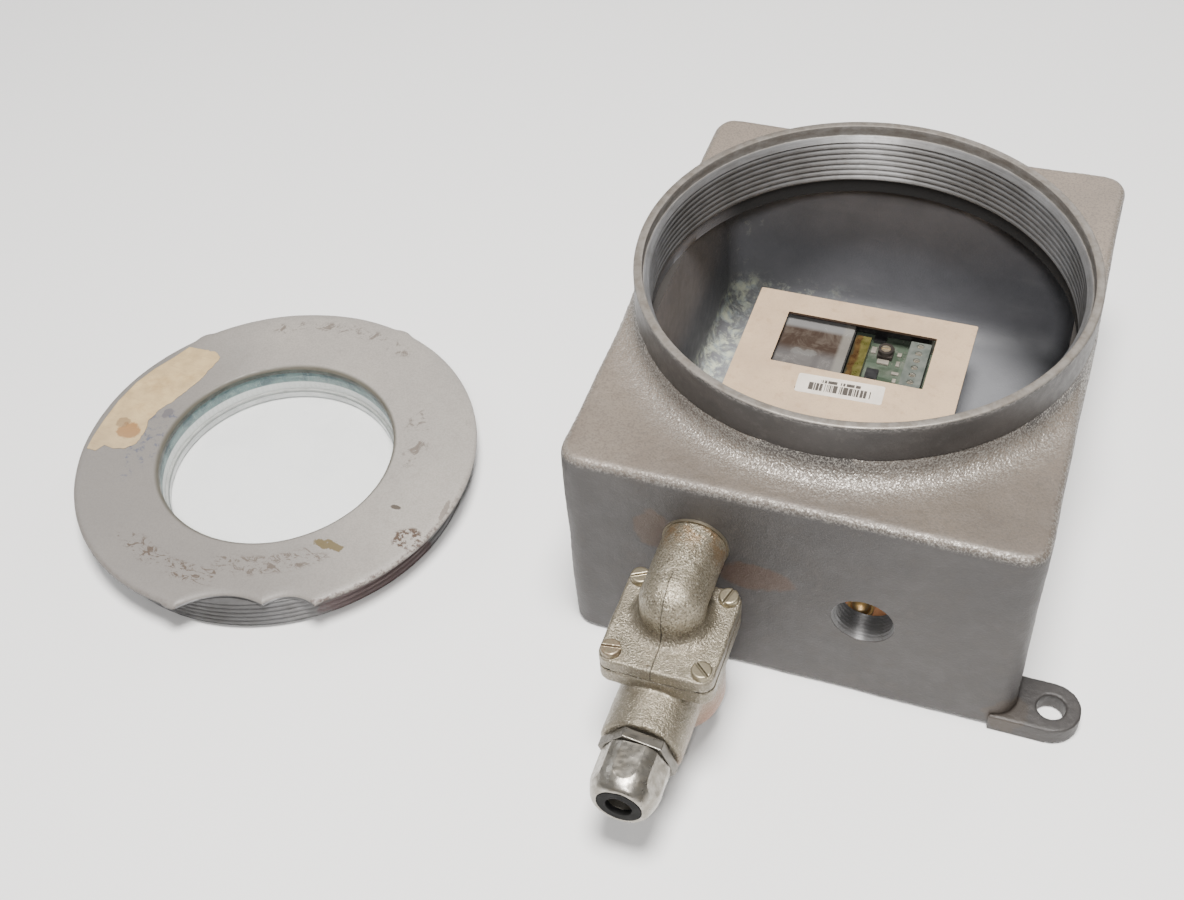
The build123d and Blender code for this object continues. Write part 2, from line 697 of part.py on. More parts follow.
def place_cover(shape):
    """Moves a shape built about the cover's axis to where the cover lies."""
    return Pos(COVER_X, COVER_Y, 0) * shape


def scallop(start, deepest, end):
    """A cutter whose wall passes through three plan points, open to the outside."""
    arc = ThreePointArc(start, deepest, end)
    outer = []
    for x, y in (end, start):
        outer.append(polar(math.hypot(x, y) + KNOB_R, math.degrees(math.atan2(y, x))))
    rest = Polyline(end, outer[0], outer[1], start)
    outline = make_face(Wire([arc.edge()] + list(rest.edges())))
    return Pos(0, 0, COVER_TURNS * THREAD_PITCH) * extrude(outline, 2 * COVER_FLANGE_T)


def cover_flange():
    """Flange with four low knobs on its edge and a bevelled outer face."""
    low = COVER_TOP - COVER_FLANGE_T
    outline = Circle(COVER_R)
    for degrees in KNOB_ANGLES:
        x, y = polar(COVER_R - KNOB_SETBACK, POCKET_AXIS_DEG + 180 + degrees)
        outline = outline + Pos(x, y) * Circle(KNOB_R)
    outline = fillet(outline.vertices(), KNOB_BLEND_R)
    edge = extrude(Pos(0, 0, low) * outline, COVER_FLANGE_T - COVER_BEVEL)
    rim = extrude(Pos(0, 0, COVER_TOP - COVER_BEVEL) * outline, COVER_BEVEL, taper=45)
    return edge + rim


def pocket_point(radius, degrees):
    """A plan point of the wrench pocket, its angle measured from the pocket's axis."""
    return polar(radius, POCKET_AXIS_DEG + degrees)


def make_cover_ring():
    """Cast cover: flange and external thread round the window bore."""
    body = ridges(COVER_MINOR_R, COVER_MAJOR_R, 0, THREAD_PITCH, COVER_TURNS)
    body = body + cover_flange()
    cusp = pocket_point(*CUSP)
    body = body - scallop(pocket_point(POCKET_MOUTH_R, POCKET_LOW_DEG),
                          pocket_point(*LOW_SCALLOP), cusp)
    body = body - scallop(cusp, pocket_point(*HIGH_SCALLOP),
                          pocket_point(POCKET_MOUTH_R, POCKET_HIGH_DEG))
    mouth = rod(WINDOW_R, LIP_UNDERSIDE - 1, COVER_TOP + 1)
    flare = Cone(WINDOW_R, WINDOW_R + WINDOW_BEVEL, WINDOW_BEVEL)
    mouth = mouth + Pos(0, 0, COVER_TOP - WINDOW_BEVEL / 2 + BEVEL_LIFT) * flare
    body = body - mouth - rod(SEAT_R, -1, LIP_UNDERSIDE) - rod(RING_POCKET_R, -1, RING_SEAT)
    for x, y in ring_screw_places():
        body = body - rod(RING_SCREW_HOLE_R, RING_SEAT - 1, RING_SCREW_HOLE_TOP, x, y)
    return place_cover(body)


def make_lens():
    """Thick round glass window."""
    disc = rod(GLASS_R, GLASS_BOTTOM, GLASS_TOP)
    return place_cover(chamfer(disc.edges(), GLASS_CHAMFER))


def make_cement():
    """Sealing compound cast between the glass edge and the cover."""
    return place_cover(ring(SEAT_R, GLASS_R, GLASS_BOTTOM, LIP_UNDERSIDE))


def make_retaining_ring():
    """Flat ring, countersunk for its screws, that holds the glass from behind."""
    body = ring(RING_OUTER_R, RING_INNER_R, RING_BOTTOM, RING_SEAT)
    for x, y in ring_screw_places():
        body = body - rod(RING_HOLE_R, 0, RING_SEAT + 1, x, y)
        body = body - rod(RING_COUNTERBORE_R, 0, RING_SCREW_SEAT, x, y)
    return place_cover(body)


def make_ring_screws():
    """Slotted screws of the retaining ring, heads down."""
    screws = []
    for x, y in ring_screw_places():
        head = rod(RING_SCREW_HEAD_R, RING_SCREW_HEAD_Z, RING_SCREW_SEAT, x, y)
        head = head - slab(8, RING_SLOT_W, 0, 2 * RING_SCREW_HEAD_Z, x, y)
        shank = rod(RING_SCREW_R, RING_SCREW_SEAT, RING_SCREW_HOLE_TOP - 1, x, y)
        screws.append(place_cover(head + shank))
    return screws


def make_lens_gasket():
    """Flat rubber ring between the glass and the retaining ring."""
    low = RING_SEAT + LENS_GASKET_GAP
    high = GLASS_BOTTOM - LENS_GASKET_GAP
    return place_cover(ring(SEAT_R - NUT_GAP, LENS_GASKET_INNER_R, low, high))


NODES = {
    "enclosure_body": make_enclosure_box,
    "enclosure_collar": make_enclosure_collar,
    "mounting_lugs": make_lugs,
    "instrument_chassis": make_chassis,
    "lower_posts": make_lower_posts,
    "circuit_board": make_board,
    "upper_posts": make_upper_posts,
    "instrument_faceplate": make_faceplate,
    "faceplate_label": make_label,
    "display_frame": make_display_frame,
    "display_glass": make_display_glass,
    "display_flex_strip": make_flex_strip,
    "board_chips": make_chips,
    "adjuster_body": make_adjuster_body,
    "adjuster_screw": make_adjuster_screw,
    "terminal_block": make_terminals,
    "terminal_screws": make_terminal_screws,
    "entry_nipple": make_nipple,
    "entry_washer": make_entry_washer,
    "entry_elbow": make_elbow,
    "flange_gasket": make_gasket,
    "lower_chamber": make_chamber,
    "flange_screws": make_flange_screws,
    "gland_sealing_ring": make_gland_ring,
    "gland_body": make_gland_body,
    "gland_seal": make_gland_seal,
    "gland_slip_washer": make_slip_washer,
    "gland_nut": make_gland_nut,
    "gland_front_ring": make_front_ring,
    "cover_ring": make_cover_ring,
    "sight_glass_lens": make_lens,
    "lens_cement": make_cement,
    "lens_retaining_ring": make_retaining_ring,
    "retaining_ring_screws": make_ring_screws,
    "lens_gasket": make_lens_gasket,
}

os.makedirs("parts", exist_ok=True)
for name, make in NODES.items():
    shape = make()
    if isinstance(shape, list):
        shape = Compound(children=shape)
    export_step(shape, f"parts/{name}.step")
    print(name, round(shape.volume, 1))
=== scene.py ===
"""A cast flameproof instrument enclosure with its sight-glass cover unscrewed beside it.

Lengths in this script are in millimetres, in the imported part's frame, until a mesh or a
material is made from them.  Every mesh is built in place round an origin at 0, 0, 0, so
object coordinates are places on the part.
"""
import math

import bmesh
import bpy
import numpy as np
from mathutils import Matrix, Vector, noise


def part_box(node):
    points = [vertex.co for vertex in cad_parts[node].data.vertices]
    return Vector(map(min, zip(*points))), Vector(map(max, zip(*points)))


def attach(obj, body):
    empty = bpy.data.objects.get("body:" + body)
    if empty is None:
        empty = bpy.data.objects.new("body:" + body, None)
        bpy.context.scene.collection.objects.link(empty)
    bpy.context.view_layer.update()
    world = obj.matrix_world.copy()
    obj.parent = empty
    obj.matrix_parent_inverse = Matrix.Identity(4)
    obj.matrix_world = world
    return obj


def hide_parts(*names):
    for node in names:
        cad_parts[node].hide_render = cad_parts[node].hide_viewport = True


MM = 0.001

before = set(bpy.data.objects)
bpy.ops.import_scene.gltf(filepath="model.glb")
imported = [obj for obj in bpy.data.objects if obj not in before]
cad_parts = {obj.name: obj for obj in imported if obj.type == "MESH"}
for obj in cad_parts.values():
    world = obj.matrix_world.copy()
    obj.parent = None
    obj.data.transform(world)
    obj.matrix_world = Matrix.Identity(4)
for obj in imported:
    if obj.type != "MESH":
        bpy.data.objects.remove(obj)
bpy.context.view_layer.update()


def node_box(node):
    """Lowest and highest corner of a CAD node, in millimetres."""
    low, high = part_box(node)
    return np.array(low) / MM, np.array(high) / MM


# ---- Sizes read from the frame ----
HALF_X, HALF_Y, CEILING_Z = node_box("enclosure_body")[1]
COLLAR_TOP = node_box("enclosure_collar")[1][2]
COVER_TOP = node_box("cover_ring")[1][2]
LENS_LOW, LENS_HIGH = node_box("sight_glass_lens")
COVER_X, COVER_Y = (LENS_LOW[:2] + LENS_HIGH[:2]) / 2
GLAND_LOW, GLAND_HIGH = node_box("gland_nut")
ENTRY_X = (GLAND_LOW[0] + GLAND_HIGH[0]) / 2
SEAM_X = ENTRY_X - 0.8
ELBOW_TOP = node_box("entry_elbow")[1][2]
PLATE_TOP = node_box("instrument_faceplate")[1][2]
LABEL_LOW, LABEL_HIGH = node_box("faceplate_label")
BOARD_LOW, BOARD_HIGH = node_box("circuit_board")

# ---- Enclosure ----
PLATE_TOP_Z = 111.0
CORNER_R = 10.0
TOP_EDGE_R = 4.0
FOOT_R = 2.0
WALL = 10.0
FLOOR_Z = 6.0
FLOOR_FILLET = 11.0
CAVITY_CORNER_R = 12.0
COLLAR_R = 98.0
FLARE = 9.5
BAND_LOW_Z = 120.5
RECESS_R = 94.2
RECESS_Z = 133.0
THREAD_LOW_Z = 109.0
THREAD_PITCH = 3.0
BORE_MINOR_R = 91.4
BORE_MAJOR_R = 93.1
WORN_DEPTH = 0.50
RELIEF_R = 92.4
AROUND = 640
THREAD_COLUMNS = 900

# ---- Cover ----
FLANGE_R = 99.2
FLANGE_LOW_Z = 18.0
KNOB_R = 8.8
KNOB_CENTRE_R = 91.8
FLANGE_SLOPE = 4.5
WINDOW_R = 57.8
LIP_R = 2.6
LIP_Z = 16.4
SEAT_R = 61.0
COVER_MAJOR_R = 92.8
COVER_MINOR_R = 91.1
POCKET_DEG = -72.7

# ---- Conduit entry and cable entry ----
CONDUIT_X = 32.1
CONDUIT_Z = 50.5
CONDUIT_R = 13.2
CONDUIT_PITCH = 1.81
ELBOW_Y = -151.0
ELBOW_FOOT = 24.4
ELBOW_FILLET = 5.5
ENTRY_HOLE_Z = 77.3
ENTRY_HOLE_R = 11.5
CONDUIT_BOSS_H = 3.4
CONDUIT_BOSS_R = 17.0
EARTH_X = 25.0
EARTH_Y = -80.5


# ------------------------------------------------------------------ meshes

def link(obj):
    bpy.context.scene.collection.objects.link(obj)
    return obj


def shade_smooth(mesh, sharp_deg=None):
    """Smooth shading, with edges past the angle left sharp."""
    mesh.polygons.foreach_set("use_smooth", [True] * len(mesh.polygons))
    if sharp_deg is not None:
        mesh.set_sharp_from_angle(angle=math.radians(sharp_deg))


def set_materials(obj, index):
    """Gives each face the number of its material."""
    obj.data.polygons.foreach_set("material_index", np.asarray(index, int).tolist())


def angles(columns):
    return np.arange(columns) / columns * 2 * math.pi


def level_ring(angle, reach, z, x=0.0, y=0.0):
    """A level ring of points about x, y, whose reach or height may change with the angle."""
    return np.stack([x + reach * np.cos(angle), y + reach * np.sin(angle),
                     np.broadcast_to(z, angle.shape)], -1)


def mesh_object(name, points, faces, sharp_deg=None):
    """A smooth-shaded mesh object from points in millimetres."""
    mesh = bpy.data.meshes.new(name)
    mesh.from_pydata((np.asarray(points, float) * MM).tolist(), [], faces)
    mesh.validate()
    work = bmesh.new()
    work.from_mesh(mesh)
    bmesh.ops.recalc_face_normals(work, faces=work.faces)
    work.to_mesh(mesh)
    work.free()
    shade_smooth(mesh, sharp_deg)
    return link(bpy.data.objects.new(name, mesh))


def grid_faces(rows, columns, close_rows=False):
    """Quads of a grid whose columns wrap round; close_rows wraps the rows as well."""
    row = np.arange(rows if close_rows else rows - 1)[:, None]
    column = np.arange(columns)[None, :]
    after = (column + 1) % columns
    above = (row + 1) % rows
    a = row * columns + column
    b = row * columns + after
    c = above * columns + after
    d = above * columns + column
    return np.stack([a + 0 * b, b, c, d], -1).reshape(-1, 4).tolist()


def ring_object(name, grid, sharp_deg=None):
    """A closed ring: grid is rows by columns by 3, wrapped both ways."""
    rows, columns = grid.shape[:2]
    return mesh_object(name, grid.reshape(-1, 3), grid_faces(rows, columns, True), sharp_deg)


def bowl_object(name, grid, start, end, sharp_deg=None):
    """Like ring_object, but the first and last rows close on the points start and end."""
    rows, columns = grid.shape[:2]
    points = np.concatenate([grid.reshape(-1, 3), [start], [end]])
    faces = grid_faces(rows, columns)
    first, last = rows * columns, rows * columns + 1
    base = (rows - 1) * columns
    for column in range(columns):
        after = (column + 1) % columns
        faces.append([first, after, column])
        faces.append([base + column, base + after, last])
    return mesh_object(name, points, faces, sharp_deg)


def read_points(obj):
    co = np.empty(len(obj.data.vertices) * 3)
    obj.data.vertices.foreach_get("co", co)
    return co.reshape(-1, 3)


def read_normals(obj):
    normals = np.empty(len(obj.data.vertices) * 3)
    obj.data.vertices.foreach_get("normal", normals)
    return normals.reshape(-1, 3)


def write_points(obj, co):
    obj.data.vertices.foreach_set("co", co.ravel())
    obj.data.update()


def relax(obj, times, weight=None, shrink=0.5, grow=-0.52):
    """Smooths a mesh without shrinking it: each pass pulls points in, then pushes them out."""
    co = read_points(obj)
    edges = np.empty(len(obj.data.edges) * 2, int)
    obj.data.edges.foreach_get("vertices", edges)
    a, b = edges.reshape(-1, 2).T
    count = np.bincount(a, minlength=len(co)) + np.bincount(b, minlength=len(co))
    share = np.ones(len(co)) if weight is None else weight(co / MM)
    for _ in range(times):
        for factor in (shrink, grow):
            mean = np.empty_like(co)
            for axis in range(3):
                total = np.bincount(a, co[b, axis], len(co)) + np.bincount(b, co[a, axis], len(co))
                mean[:, axis] = total / np.maximum(count, 1)
            co += (factor * share)[:, None] * (mean - co)
    write_points(obj, co)


def roughen(obj, amount, size, octaves=3, offset=0.0, mask=None):
    """Moves points along their normals by fractal noise; amount and size in millimetres."""
    co = read_points(obj)
    shift = Vector((offset, offset * 0.7, offset * 1.3))
    places = co / (size * MM)
    heights = np.array([noise.fractal(Vector(p) + shift, 0.7, 2.0, octaves) for p in places])
    if mask is not None:
        heights = heights * mask(co / MM)
    write_points(obj, co + read_normals(obj) * (heights * amount * MM)[:, None])


def smoothstep(x, low, high):
    t = np.clip((x - low) / (high - low), 0, 1)
    return t * t * (3 - 2 * t)


def weld(mesh, distance=1e-6):
    work = bmesh.new()
    work.from_mesh(mesh)
    bmesh.ops.remove_doubles(work, verts=work.verts, dist=distance)
    work.to_mesh(mesh)
    work.free()


def applied(obj):
    """Turns an object's modifiers into its own mesh."""
    graph = bpy.context.evaluated_depsgraph_get()
    graph.update()
    mesh = bpy.data.meshes.new_from_object(obj.evaluated_get(graph))
    old = obj.data
    obj.modifiers.clear()
    obj.data = mesh
    bpy.data.meshes.remove(old)
    return obj


def softened(node, name, voxel, times):
    """A dense copy of a CAD node whose edges are rounded as a casting's are."""
    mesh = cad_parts[node].data.copy()
    mesh.materials.clear()
    weld(mesh)
    obj = link(bpy.data.objects.new(name, mesh))
    remesh = obj.modifiers.new("remesh", "REMESH")
    remesh.mode = "VOXEL"
    remesh.voxel_size = voxel * MM
    remesh.use_smooth_shade = True
    applied(obj)
    relax(obj, times)
    return obj


def place(obj, body, slot, material, *nodes):
    """Rides the piece on its body, hides the CAD nodes it stands for, and paints it; the slot
    argument is not used.
    """
    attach(obj, body)
    if nodes:
        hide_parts(*nodes)
    materials = material if isinstance(material, list) else [material]
    index = np.zeros(len(obj.data.polygons), np.int32)
    obj.data.polygons.foreach_get("material_index", index)
    obj.data.materials.clear()
    for item in materials:
        obj.data.materials.append(item)
    obj.data.polygons.foreach_set("material_index", np.minimum(index, len(materials) - 1))
    return obj


def finish_node(node, material):
    """Gives a CAD node that stays a better material."""
    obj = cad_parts[node]
    if not obj.material_slots:
        obj.data.materials.append(material)
    for slot in obj.material_slots:
        slot.material = material
    return obj


def round_edges(obj, width, degrees=35):
    """Rounds the sharp edges of a mesh by a modifier."""
    join = obj.modifiers.new("weld", "WELD")
    join.merge_threshold = 1e-6
    bevel = obj.modifiers.new("bevel", "BEVEL")
    bevel.width = width * MM
    bevel.segments = 3
    bevel.limit_method = "ANGLE"
    bevel.angle_limit = math.radians(degrees)
    bevel.harden_normals = False


# --------------------------------------------------------------- materials

class Paint:
    """A node material about one Principled shader.  Noise sizes are in millimetres."""

    def __init__(self, name, **fixed):
        self.material = bpy.data.materials.new(name)
        self.material.use_nodes = True
        self.tree = self.material.node_tree
        self.tree.nodes.clear()
        out = self.tree.nodes.new("ShaderNodeOutputMaterial")
        self.shader = self.tree.nodes.new("ShaderNodeBsdfPrincipled")
        self.tree.links.new(self.shader.outputs[0], out.inputs[0])
        self.place = self.tree.nodes.new("ShaderNodeTexCoord").outputs["Object"]
        self.axes = None
        self.base = None
        for socket, value in fixed.items():
            self.shader.inputs[socket.replace("_", " ")].default_value = value

    def node(self, kind, **settings):
        node = self.tree.nodes.new(kind)
        for key, value in settings.items():
            setattr(node, key, value)
        return node

    def made(self, kind, inputs, **settings):
        """A new node whose inputs are fed by name."""
        node = self.node(kind, **settings)
        for name, value in inputs.items():
            self.feed(node.inputs[name], value)
        return node

    def feed(self, socket, value):
        if isinstance(value, bpy.types.NodeSocket):
            self.tree.links.new(value, socket)
        elif value is not None:
            if isinstance(value, tuple) and len(value) == 3 and len(socket.default_value) == 4:
                value = (*value, 1.0)
            socket.default_value = value

    def set(self, socket, value):
        self.feed(self.shader.inputs[socket], value)

    def stretched(self, x, y, z):
        return self.made("ShaderNodeMapping", {"Vector": self.place, "Scale": (x, y, z)}).outputs[0]

    def noise(self, size, detail=4.0, rough=0.55, vector=None, warp=0.0):
        inputs = {"Vector": vector or self.place, "Scale": 1000.0 / size, "Detail": detail,
                  "Roughness": rough, "Distortion": warp}
        return self.made("ShaderNodeTexNoise", inputs).outputs["Fac"]

    def cells(self, size, vector=None):
        inputs = {"Vector": vector or self.place, "Scale": 1000.0 / size}
        return self.made("ShaderNodeTexVoronoi", inputs).outputs

    def speck(self, size, vector=None):
        """A random value for each cell of a cell pattern."""
        colour = self.cells(size, vector)["Color"]
        return self.made("ShaderNodeSeparateColor", {0: colour}).outputs[0]

    def levels(self, value, low, high, out_low=0.0, out_high=1.0, smooth=True):
        inputs = {"Value": value, "From Min": low, "From Max": high,
                  "To Min": out_low, "To Max": out_high}
        kind = "SMOOTHSTEP" if smooth else "LINEAR"
        return self.made("ShaderNodeMapRange", inputs, interpolation_type=kind).outputs["Result"]

    def mix(self, share, first, second):
        return self.made("ShaderNodeMix", {0: share, 6: first, 7: second},
                          data_type="RGBA").outputs[2]

    def math(self, operation, a, b=None, c=None):
        return self.made("ShaderNodeMath", {0: a, 1: b, 2: c}, operation=operation).outputs[0]

    def times(self, first, *others):
        for other in others:
            first = self.math("MULTIPLY", first, other)
        return first

    def plus(self, a, b):
        return self.math("ADD", a, b)

    def minus(self, a, b):
        return self.math("SUBTRACT", a, b)

    def most(self, a, b):
        return self.math("MAXIMUM", a, b)

    def patches(self, low, high, *noise):
        """Noise cut to patches: 0 up to the value low and 1 from the value high."""
        return self.levels(self.noise(*noise), low, high)

    def tint(self, share, colour, amount=None):
        """Lays a colour over the base colour, in a share that amount scales."""
        if amount is not None:
            share = self.times(share, amount)
        self.base = self.mix(share, self.base, colour)

    def blend(self, field, first, second, low=0.3, high=0.7):
        """The first colour where the field is low, the second where it is high."""
        return self.mix(self.levels(field, low, high), first, second)

    def roughness(self, field, low, high):
        self.set("Roughness", self.levels(field, 0.3, 0.7, low, high))

    def done(self):
        self.set("Base Color", self.base)
        return self.material

    def axis(self, index):
        """A coordinate of the place on the part, in millimetres."""
        if self.axes is None:
            split = self.made("ShaderNodeSeparateXYZ", {0: self.place})
            self.axes = [self.times(split.outputs[i], 1000.0) for i in range(3)]
        return self.axes[index]

    def reach(self, x, y):
        """Distance in plan from the point x, y, in millimetres."""
        squares = [self.math("POWER", self.minus(self.axis(index), middle), 2.0)
                   for index, middle in enumerate((x, y))]
        return self.math("SQRT", self.plus(*squares))

    def spot(self, centre, size, ragged=0.4, grain=4.0):
        """1 inside a ragged blob about a point, 0 outside; sizes in millimetres."""
        total = None
        for index in range(3):
            if size[index] is None:
                continue
            offset = self.minus(self.axis(index), centre[index])
            part = self.math("POWER", self.math("DIVIDE", offset, size[index]), 2.0)
            total = part if total is None else self.plus(total, part)
        wobble = self.times(self.minus(self.noise(grain, 5.0, 0.6), 0.5), ragged * 8)
        return self.levels(self.plus(total, wobble), 1.25, 0.75)

    def attribute(self, name):
        return self.node("ShaderNodeAttribute", attribute_name=name).outputs["Fac"]

    def facing(self, index):
        """A component of the surface normal in the part's frame."""
        geometry = self.node("ShaderNodeNewGeometry")
        return self.made("ShaderNodeSeparateXYZ", {0: geometry.outputs["Normal"]}).outputs[index]

    def pointiness(self, low, high):
        geometry = self.node("ShaderNodeNewGeometry")
        return self.levels(geometry.outputs["Pointiness"], low, high)

    def bump(self, height, distance, strength=1.0, after=None):
        """Bump whose full height is the distance, in millimetres."""
        inputs = {"Height": height, "Distance": distance * MM, "Strength": strength, "Normal": after}
        node = self.made("ShaderNodeBump", inputs)
        self.set("Normal", node.outputs[0])
        return node.outputs[0]


def enclosure_paint():
    """Worn grey paint over sand-cast aluminium: warmer and paler where it faces up, as painted
    light, with darker walls as painted shade.
    """
    p = Paint("enclosure_casting_paint", Specular_IOR_Level=0.5)
    flare = p.attribute("flare")
    edge = p.attribute("edge")
    broad = p.noise(38, 5, 0.6)
    patch = p.noise(9, 5, 0.65)
    grain = p.noise(0.95, 3, 0.6)
    fine = p.noise(0.4, 2, 0.5)
    # Painted light: up-facing surfaces high on the box take paler, warmer top colours, lighter
    # towards the rear and the left; the walls take darker colours as painted shade.
    up = p.times(p.levels(p.facing(2), 0.15, 0.75), p.levels(p.axis(2), 60.0, 100.0))
    side = p.blend(broad, (0.06, 0.0555, 0.054), (0.048, 0.045, 0.045), 0.32, 0.68)
    front = p.blend(broad, (0.115, 0.094, 0.075), (0.097, 0.08, 0.066), 0.32, 0.68)
    rear = p.blend(broad, (0.232, 0.192, 0.156), (0.2, 0.168, 0.138), 0.32, 0.68)
    top = p.mix(p.levels(p.axis(1), -105.0, 45.0, smooth=False), front, rear)
    top = p.mix(p.levels(p.axis(0), -20.0, -95.0, 0.0, 0.45), top, (0.225, 0.188, 0.155))
    p.base = p.mix(up, side, top)
    p.tint(p.levels(patch, 0.5, 0.78), (0.15, 0.132, 0.115), 0.18)
    p.tint(p.levels(grain, 0.55, 0.36, 0.0, 0.38), (0.058, 0.052, 0.048))
    bright = p.times(flare, p.patches(0.46, 0.64, 0.8, 3, 0.7))
    p.tint(bright, (0.44, 0.42, 0.385), 0.8)
    worn = p.times(edge, p.patches(0.44, 0.62, 1.0, 4, 0.75))
    p.tint(worn, (0.42, 0.4, 0.37), 0.75)
    dirt = p.patches(0.56, 0.74, 22, 6, 0.7)
    p.tint(dirt, (0.07, 0.05, 0.036), 0.16)
    stain = p.spot((-14.0, -HALF_Y, 63.0), (17.0, 12.0, 8.0), 0.25, 12.0)
    p.tint(stain, (0.085, 0.042, 0.022), 0.5)
    left = p.spot((-57.0, -HALF_Y, 79.0), (8.0, 12.0, 12.0), 0.25, 10.0)
    p.tint(left, (0.105, 0.058, 0.03), 0.4)
    lug_foot = p.spot((HALF_X - 4.0, -HALF_Y + 3.0, 9.0), (9.0, 9.0, 9.0), 0.25, 6.0)
    p.tint(lug_foot, (0.08, 0.055, 0.032), 0.35)
    # Painted shade: up-facing surfaces low down, the tops of the lugs, are darkened.
    low = p.times(p.levels(p.axis(2), 14.0, 9.0), p.levels(p.facing(2), 0.5, 0.8))
    p.tint(low, (0.02, 0.018, 0.017), 0.5)
    shine = p.most(worn, bright)
    p.set("Metallic", p.plus(p.times(shine, 0.6), 0.18))
    rough = p.levels(patch, 0.3, 0.7, 0.46, 0.58)
    p.set("Roughness", p.minus(rough, p.times(shine, 0.18)))
    coarse = p.bump(p.noise(2.0, 4, 0.65), 0.3, 0.4)
    height = p.plus(p.times(grain, 0.7), p.times(fine, 0.3))
    sand = p.bump(height, 0.26, 0.75, coarse)
    pits = p.times(p.cells(1.0)["Distance"], p.plus(p.times(flare, 0.9), 0.1))
    p.bump(pits, 0.35, 0.6, sand)
    return p.done()


def interior_paint():
    """Dark slate paint with a pale dusty fillet, white-green bloom and rust specks, and near-black
    painted shadow high on the walls and on the ledge.
    """
    p = Paint("enclosure_inside_paint", Specular_IOR_Level=0.45)
    broad = p.noise(45, 5, 0.6)
    drag = p.noise(16, 5, 0.65, p.stretched(0.35, 1.0, 1.0))
    p.base = p.blend(broad, (0.132, 0.134, 0.146), (0.172, 0.173, 0.187))
    p.tint(p.levels(drag, 0.55, 0.8, 0.0, 0.45), (0.225, 0.225, 0.23))
    foot = p.levels(p.axis(2), 22.0, 9.0)
    dust = p.patches(0.32, 0.66, 13, 6, 0.65)
    p.tint(p.times(foot, p.plus(p.times(dust, 0.3), 0.4)), (0.165, 0.17, 0.18))
    side = p.levels(p.math("ABSOLUTE", p.axis(0)), 84.0, 87.0)
    p.tint(side, (0.09, 0.076, 0.066), 0.2)
    # Painted shadow: near black high on the walls under the collar and in the back-right corner
    # under the ceiling.
    painted_corner_shadow = p.spot((HALF_X, HALF_Y, CEILING_Z - 6.0), (64.0, 40.0, 40.0), 0.03, 30.0)
    high = p.times(p.levels(p.axis(2), 80.0, 91.0), p.levels(p.axis(0), -87.5, -70.0))
    under = p.most(high, painted_corner_shadow)
    p.tint(under, (0.005, 0.005, 0.005), 0.96)
    left = p.levels(p.axis(0), -70.0, -80.0)
    low = p.levels(p.axis(2), 24.0, 13.0)
    bloom = p.patches(0.43, 0.6, 8, 6, 0.72, None, 0.6)
    crust = p.times(left, low, bloom)
    back = p.times(p.levels(p.axis(1), 94.0, 104.0), p.levels(p.axis(2), 26.0, 13.0))
    back_bloom = p.times(back, p.levels(p.axis(0), 10.0, -60.0), p.patches(0.48, 0.64, 9, 6, 0.7))
    corner = p.spot((-82.0, 104.0, 60.0), (12.0, 14.0, 34.0), 0.3, 9.0)
    smear = p.times(corner, p.patches(0.54, 0.7, 6, 6, 0.75))
    crust = p.most(crust, p.most(p.times(back_bloom, 0.8), p.times(smear, 0.45)))
    p.tint(crust, p.mix(p.patches(0.35, 0.65, 4, 4, 0.6), (0.3, 0.34, 0.34), (0.5, 0.52, 0.4)))
    # Painted shade: the up-facing ledge under the thread is painted near black.
    ledge = p.levels(p.facing(2), 0.6, 0.9)
    top = p.times(ledge, p.levels(p.axis(2), 96.0, 100.0))
    p.tint(top, (0.026, 0.023, 0.021))
    rust = p.spot((23.0, -80.0, FLOOR_Z), (22.0, 16.0, None), 0.3, 12.0)
    p.tint(rust, (0.3, 0.115, 0.03), 0.85)
    rough = p.levels(p.noise(6, 4, 0.6), 0.3, 0.7, 0.54, 0.7)
    p.set("Roughness", p.most(rough, p.times(under, 0.95)))
    coarse = p.bump(p.noise(5, 5, 0.6), 0.5, 0.35)
    p.bump(p.plus(p.noise(1.0, 3, 0.6), p.times(crust, 1.5)), 0.25, 0.6, coarse)
    return p.done()


def collar_paint():
    """Painted collar: smooth dark band outside, pale rim, greasy recess inside the rim."""
    p = Paint("collar_band_paint", Specular_IOR_Level=0.5)
    broad = p.noise(30, 4, 0.55, p.stretched(1, 1, 2.0))
    fine = p.noise(0.8, 3, 0.6)
    p.base = p.blend(broad, (0.036, 0.033, 0.032), (0.052, 0.047, 0.045))
    p.tint(p.levels(p.noise(3.5, 4, 0.7), 0.5, 0.72, 0.0, 0.25), (0.105, 0.096, 0.088))
    scuff = p.levels(p.axis(2), COLLAR_TOP - 3.0, COLLAR_TOP - 0.6)
    scuffed = p.times(scuff, p.patches(0.46, 0.6, 2.0, 5, 0.75, p.stretched(1, 1, 2)))
    p.tint(scuffed, (0.22, 0.205, 0.19), 0.6)
    reach = p.reach(0.0, 0.0)
    rim = p.times(p.levels(p.axis(2), COLLAR_TOP - 0.7, COLLAR_TOP - 0.1),
                  p.levels(reach, RECESS_R - 0.6, RECESS_R + 0.3))
    p.tint(rim, p.mix(p.patches(0.35, 0.7, 5, 5, 0.7), (0.215, 0.198, 0.178),
                      (0.145, 0.126, 0.106)))
    inside = p.times(p.levels(reach, RECESS_R + 0.4, RECESS_R - 0.1),
                     p.levels(p.axis(2), RECESS_Z - 1.4, RECESS_Z - 0.2))
    grease = p.mix(p.patches(0.35, 0.7, 8, 5, 0.7, p.stretched(1, 1, 2)), (0.14, 0.128, 0.115),
                   (0.215, 0.206, 0.196))
    p.tint(inside, grease)
    p.set("Metallic", p.times(p.most(rim, inside), 0.4))
    p.roughness(p.noise(4, 4, 0.6), 0.38, 0.5)
    p.bump(p.plus(p.times(p.noise(3, 4, 0.6), 0.5), fine), 0.14, 0.5)
    return p.done()


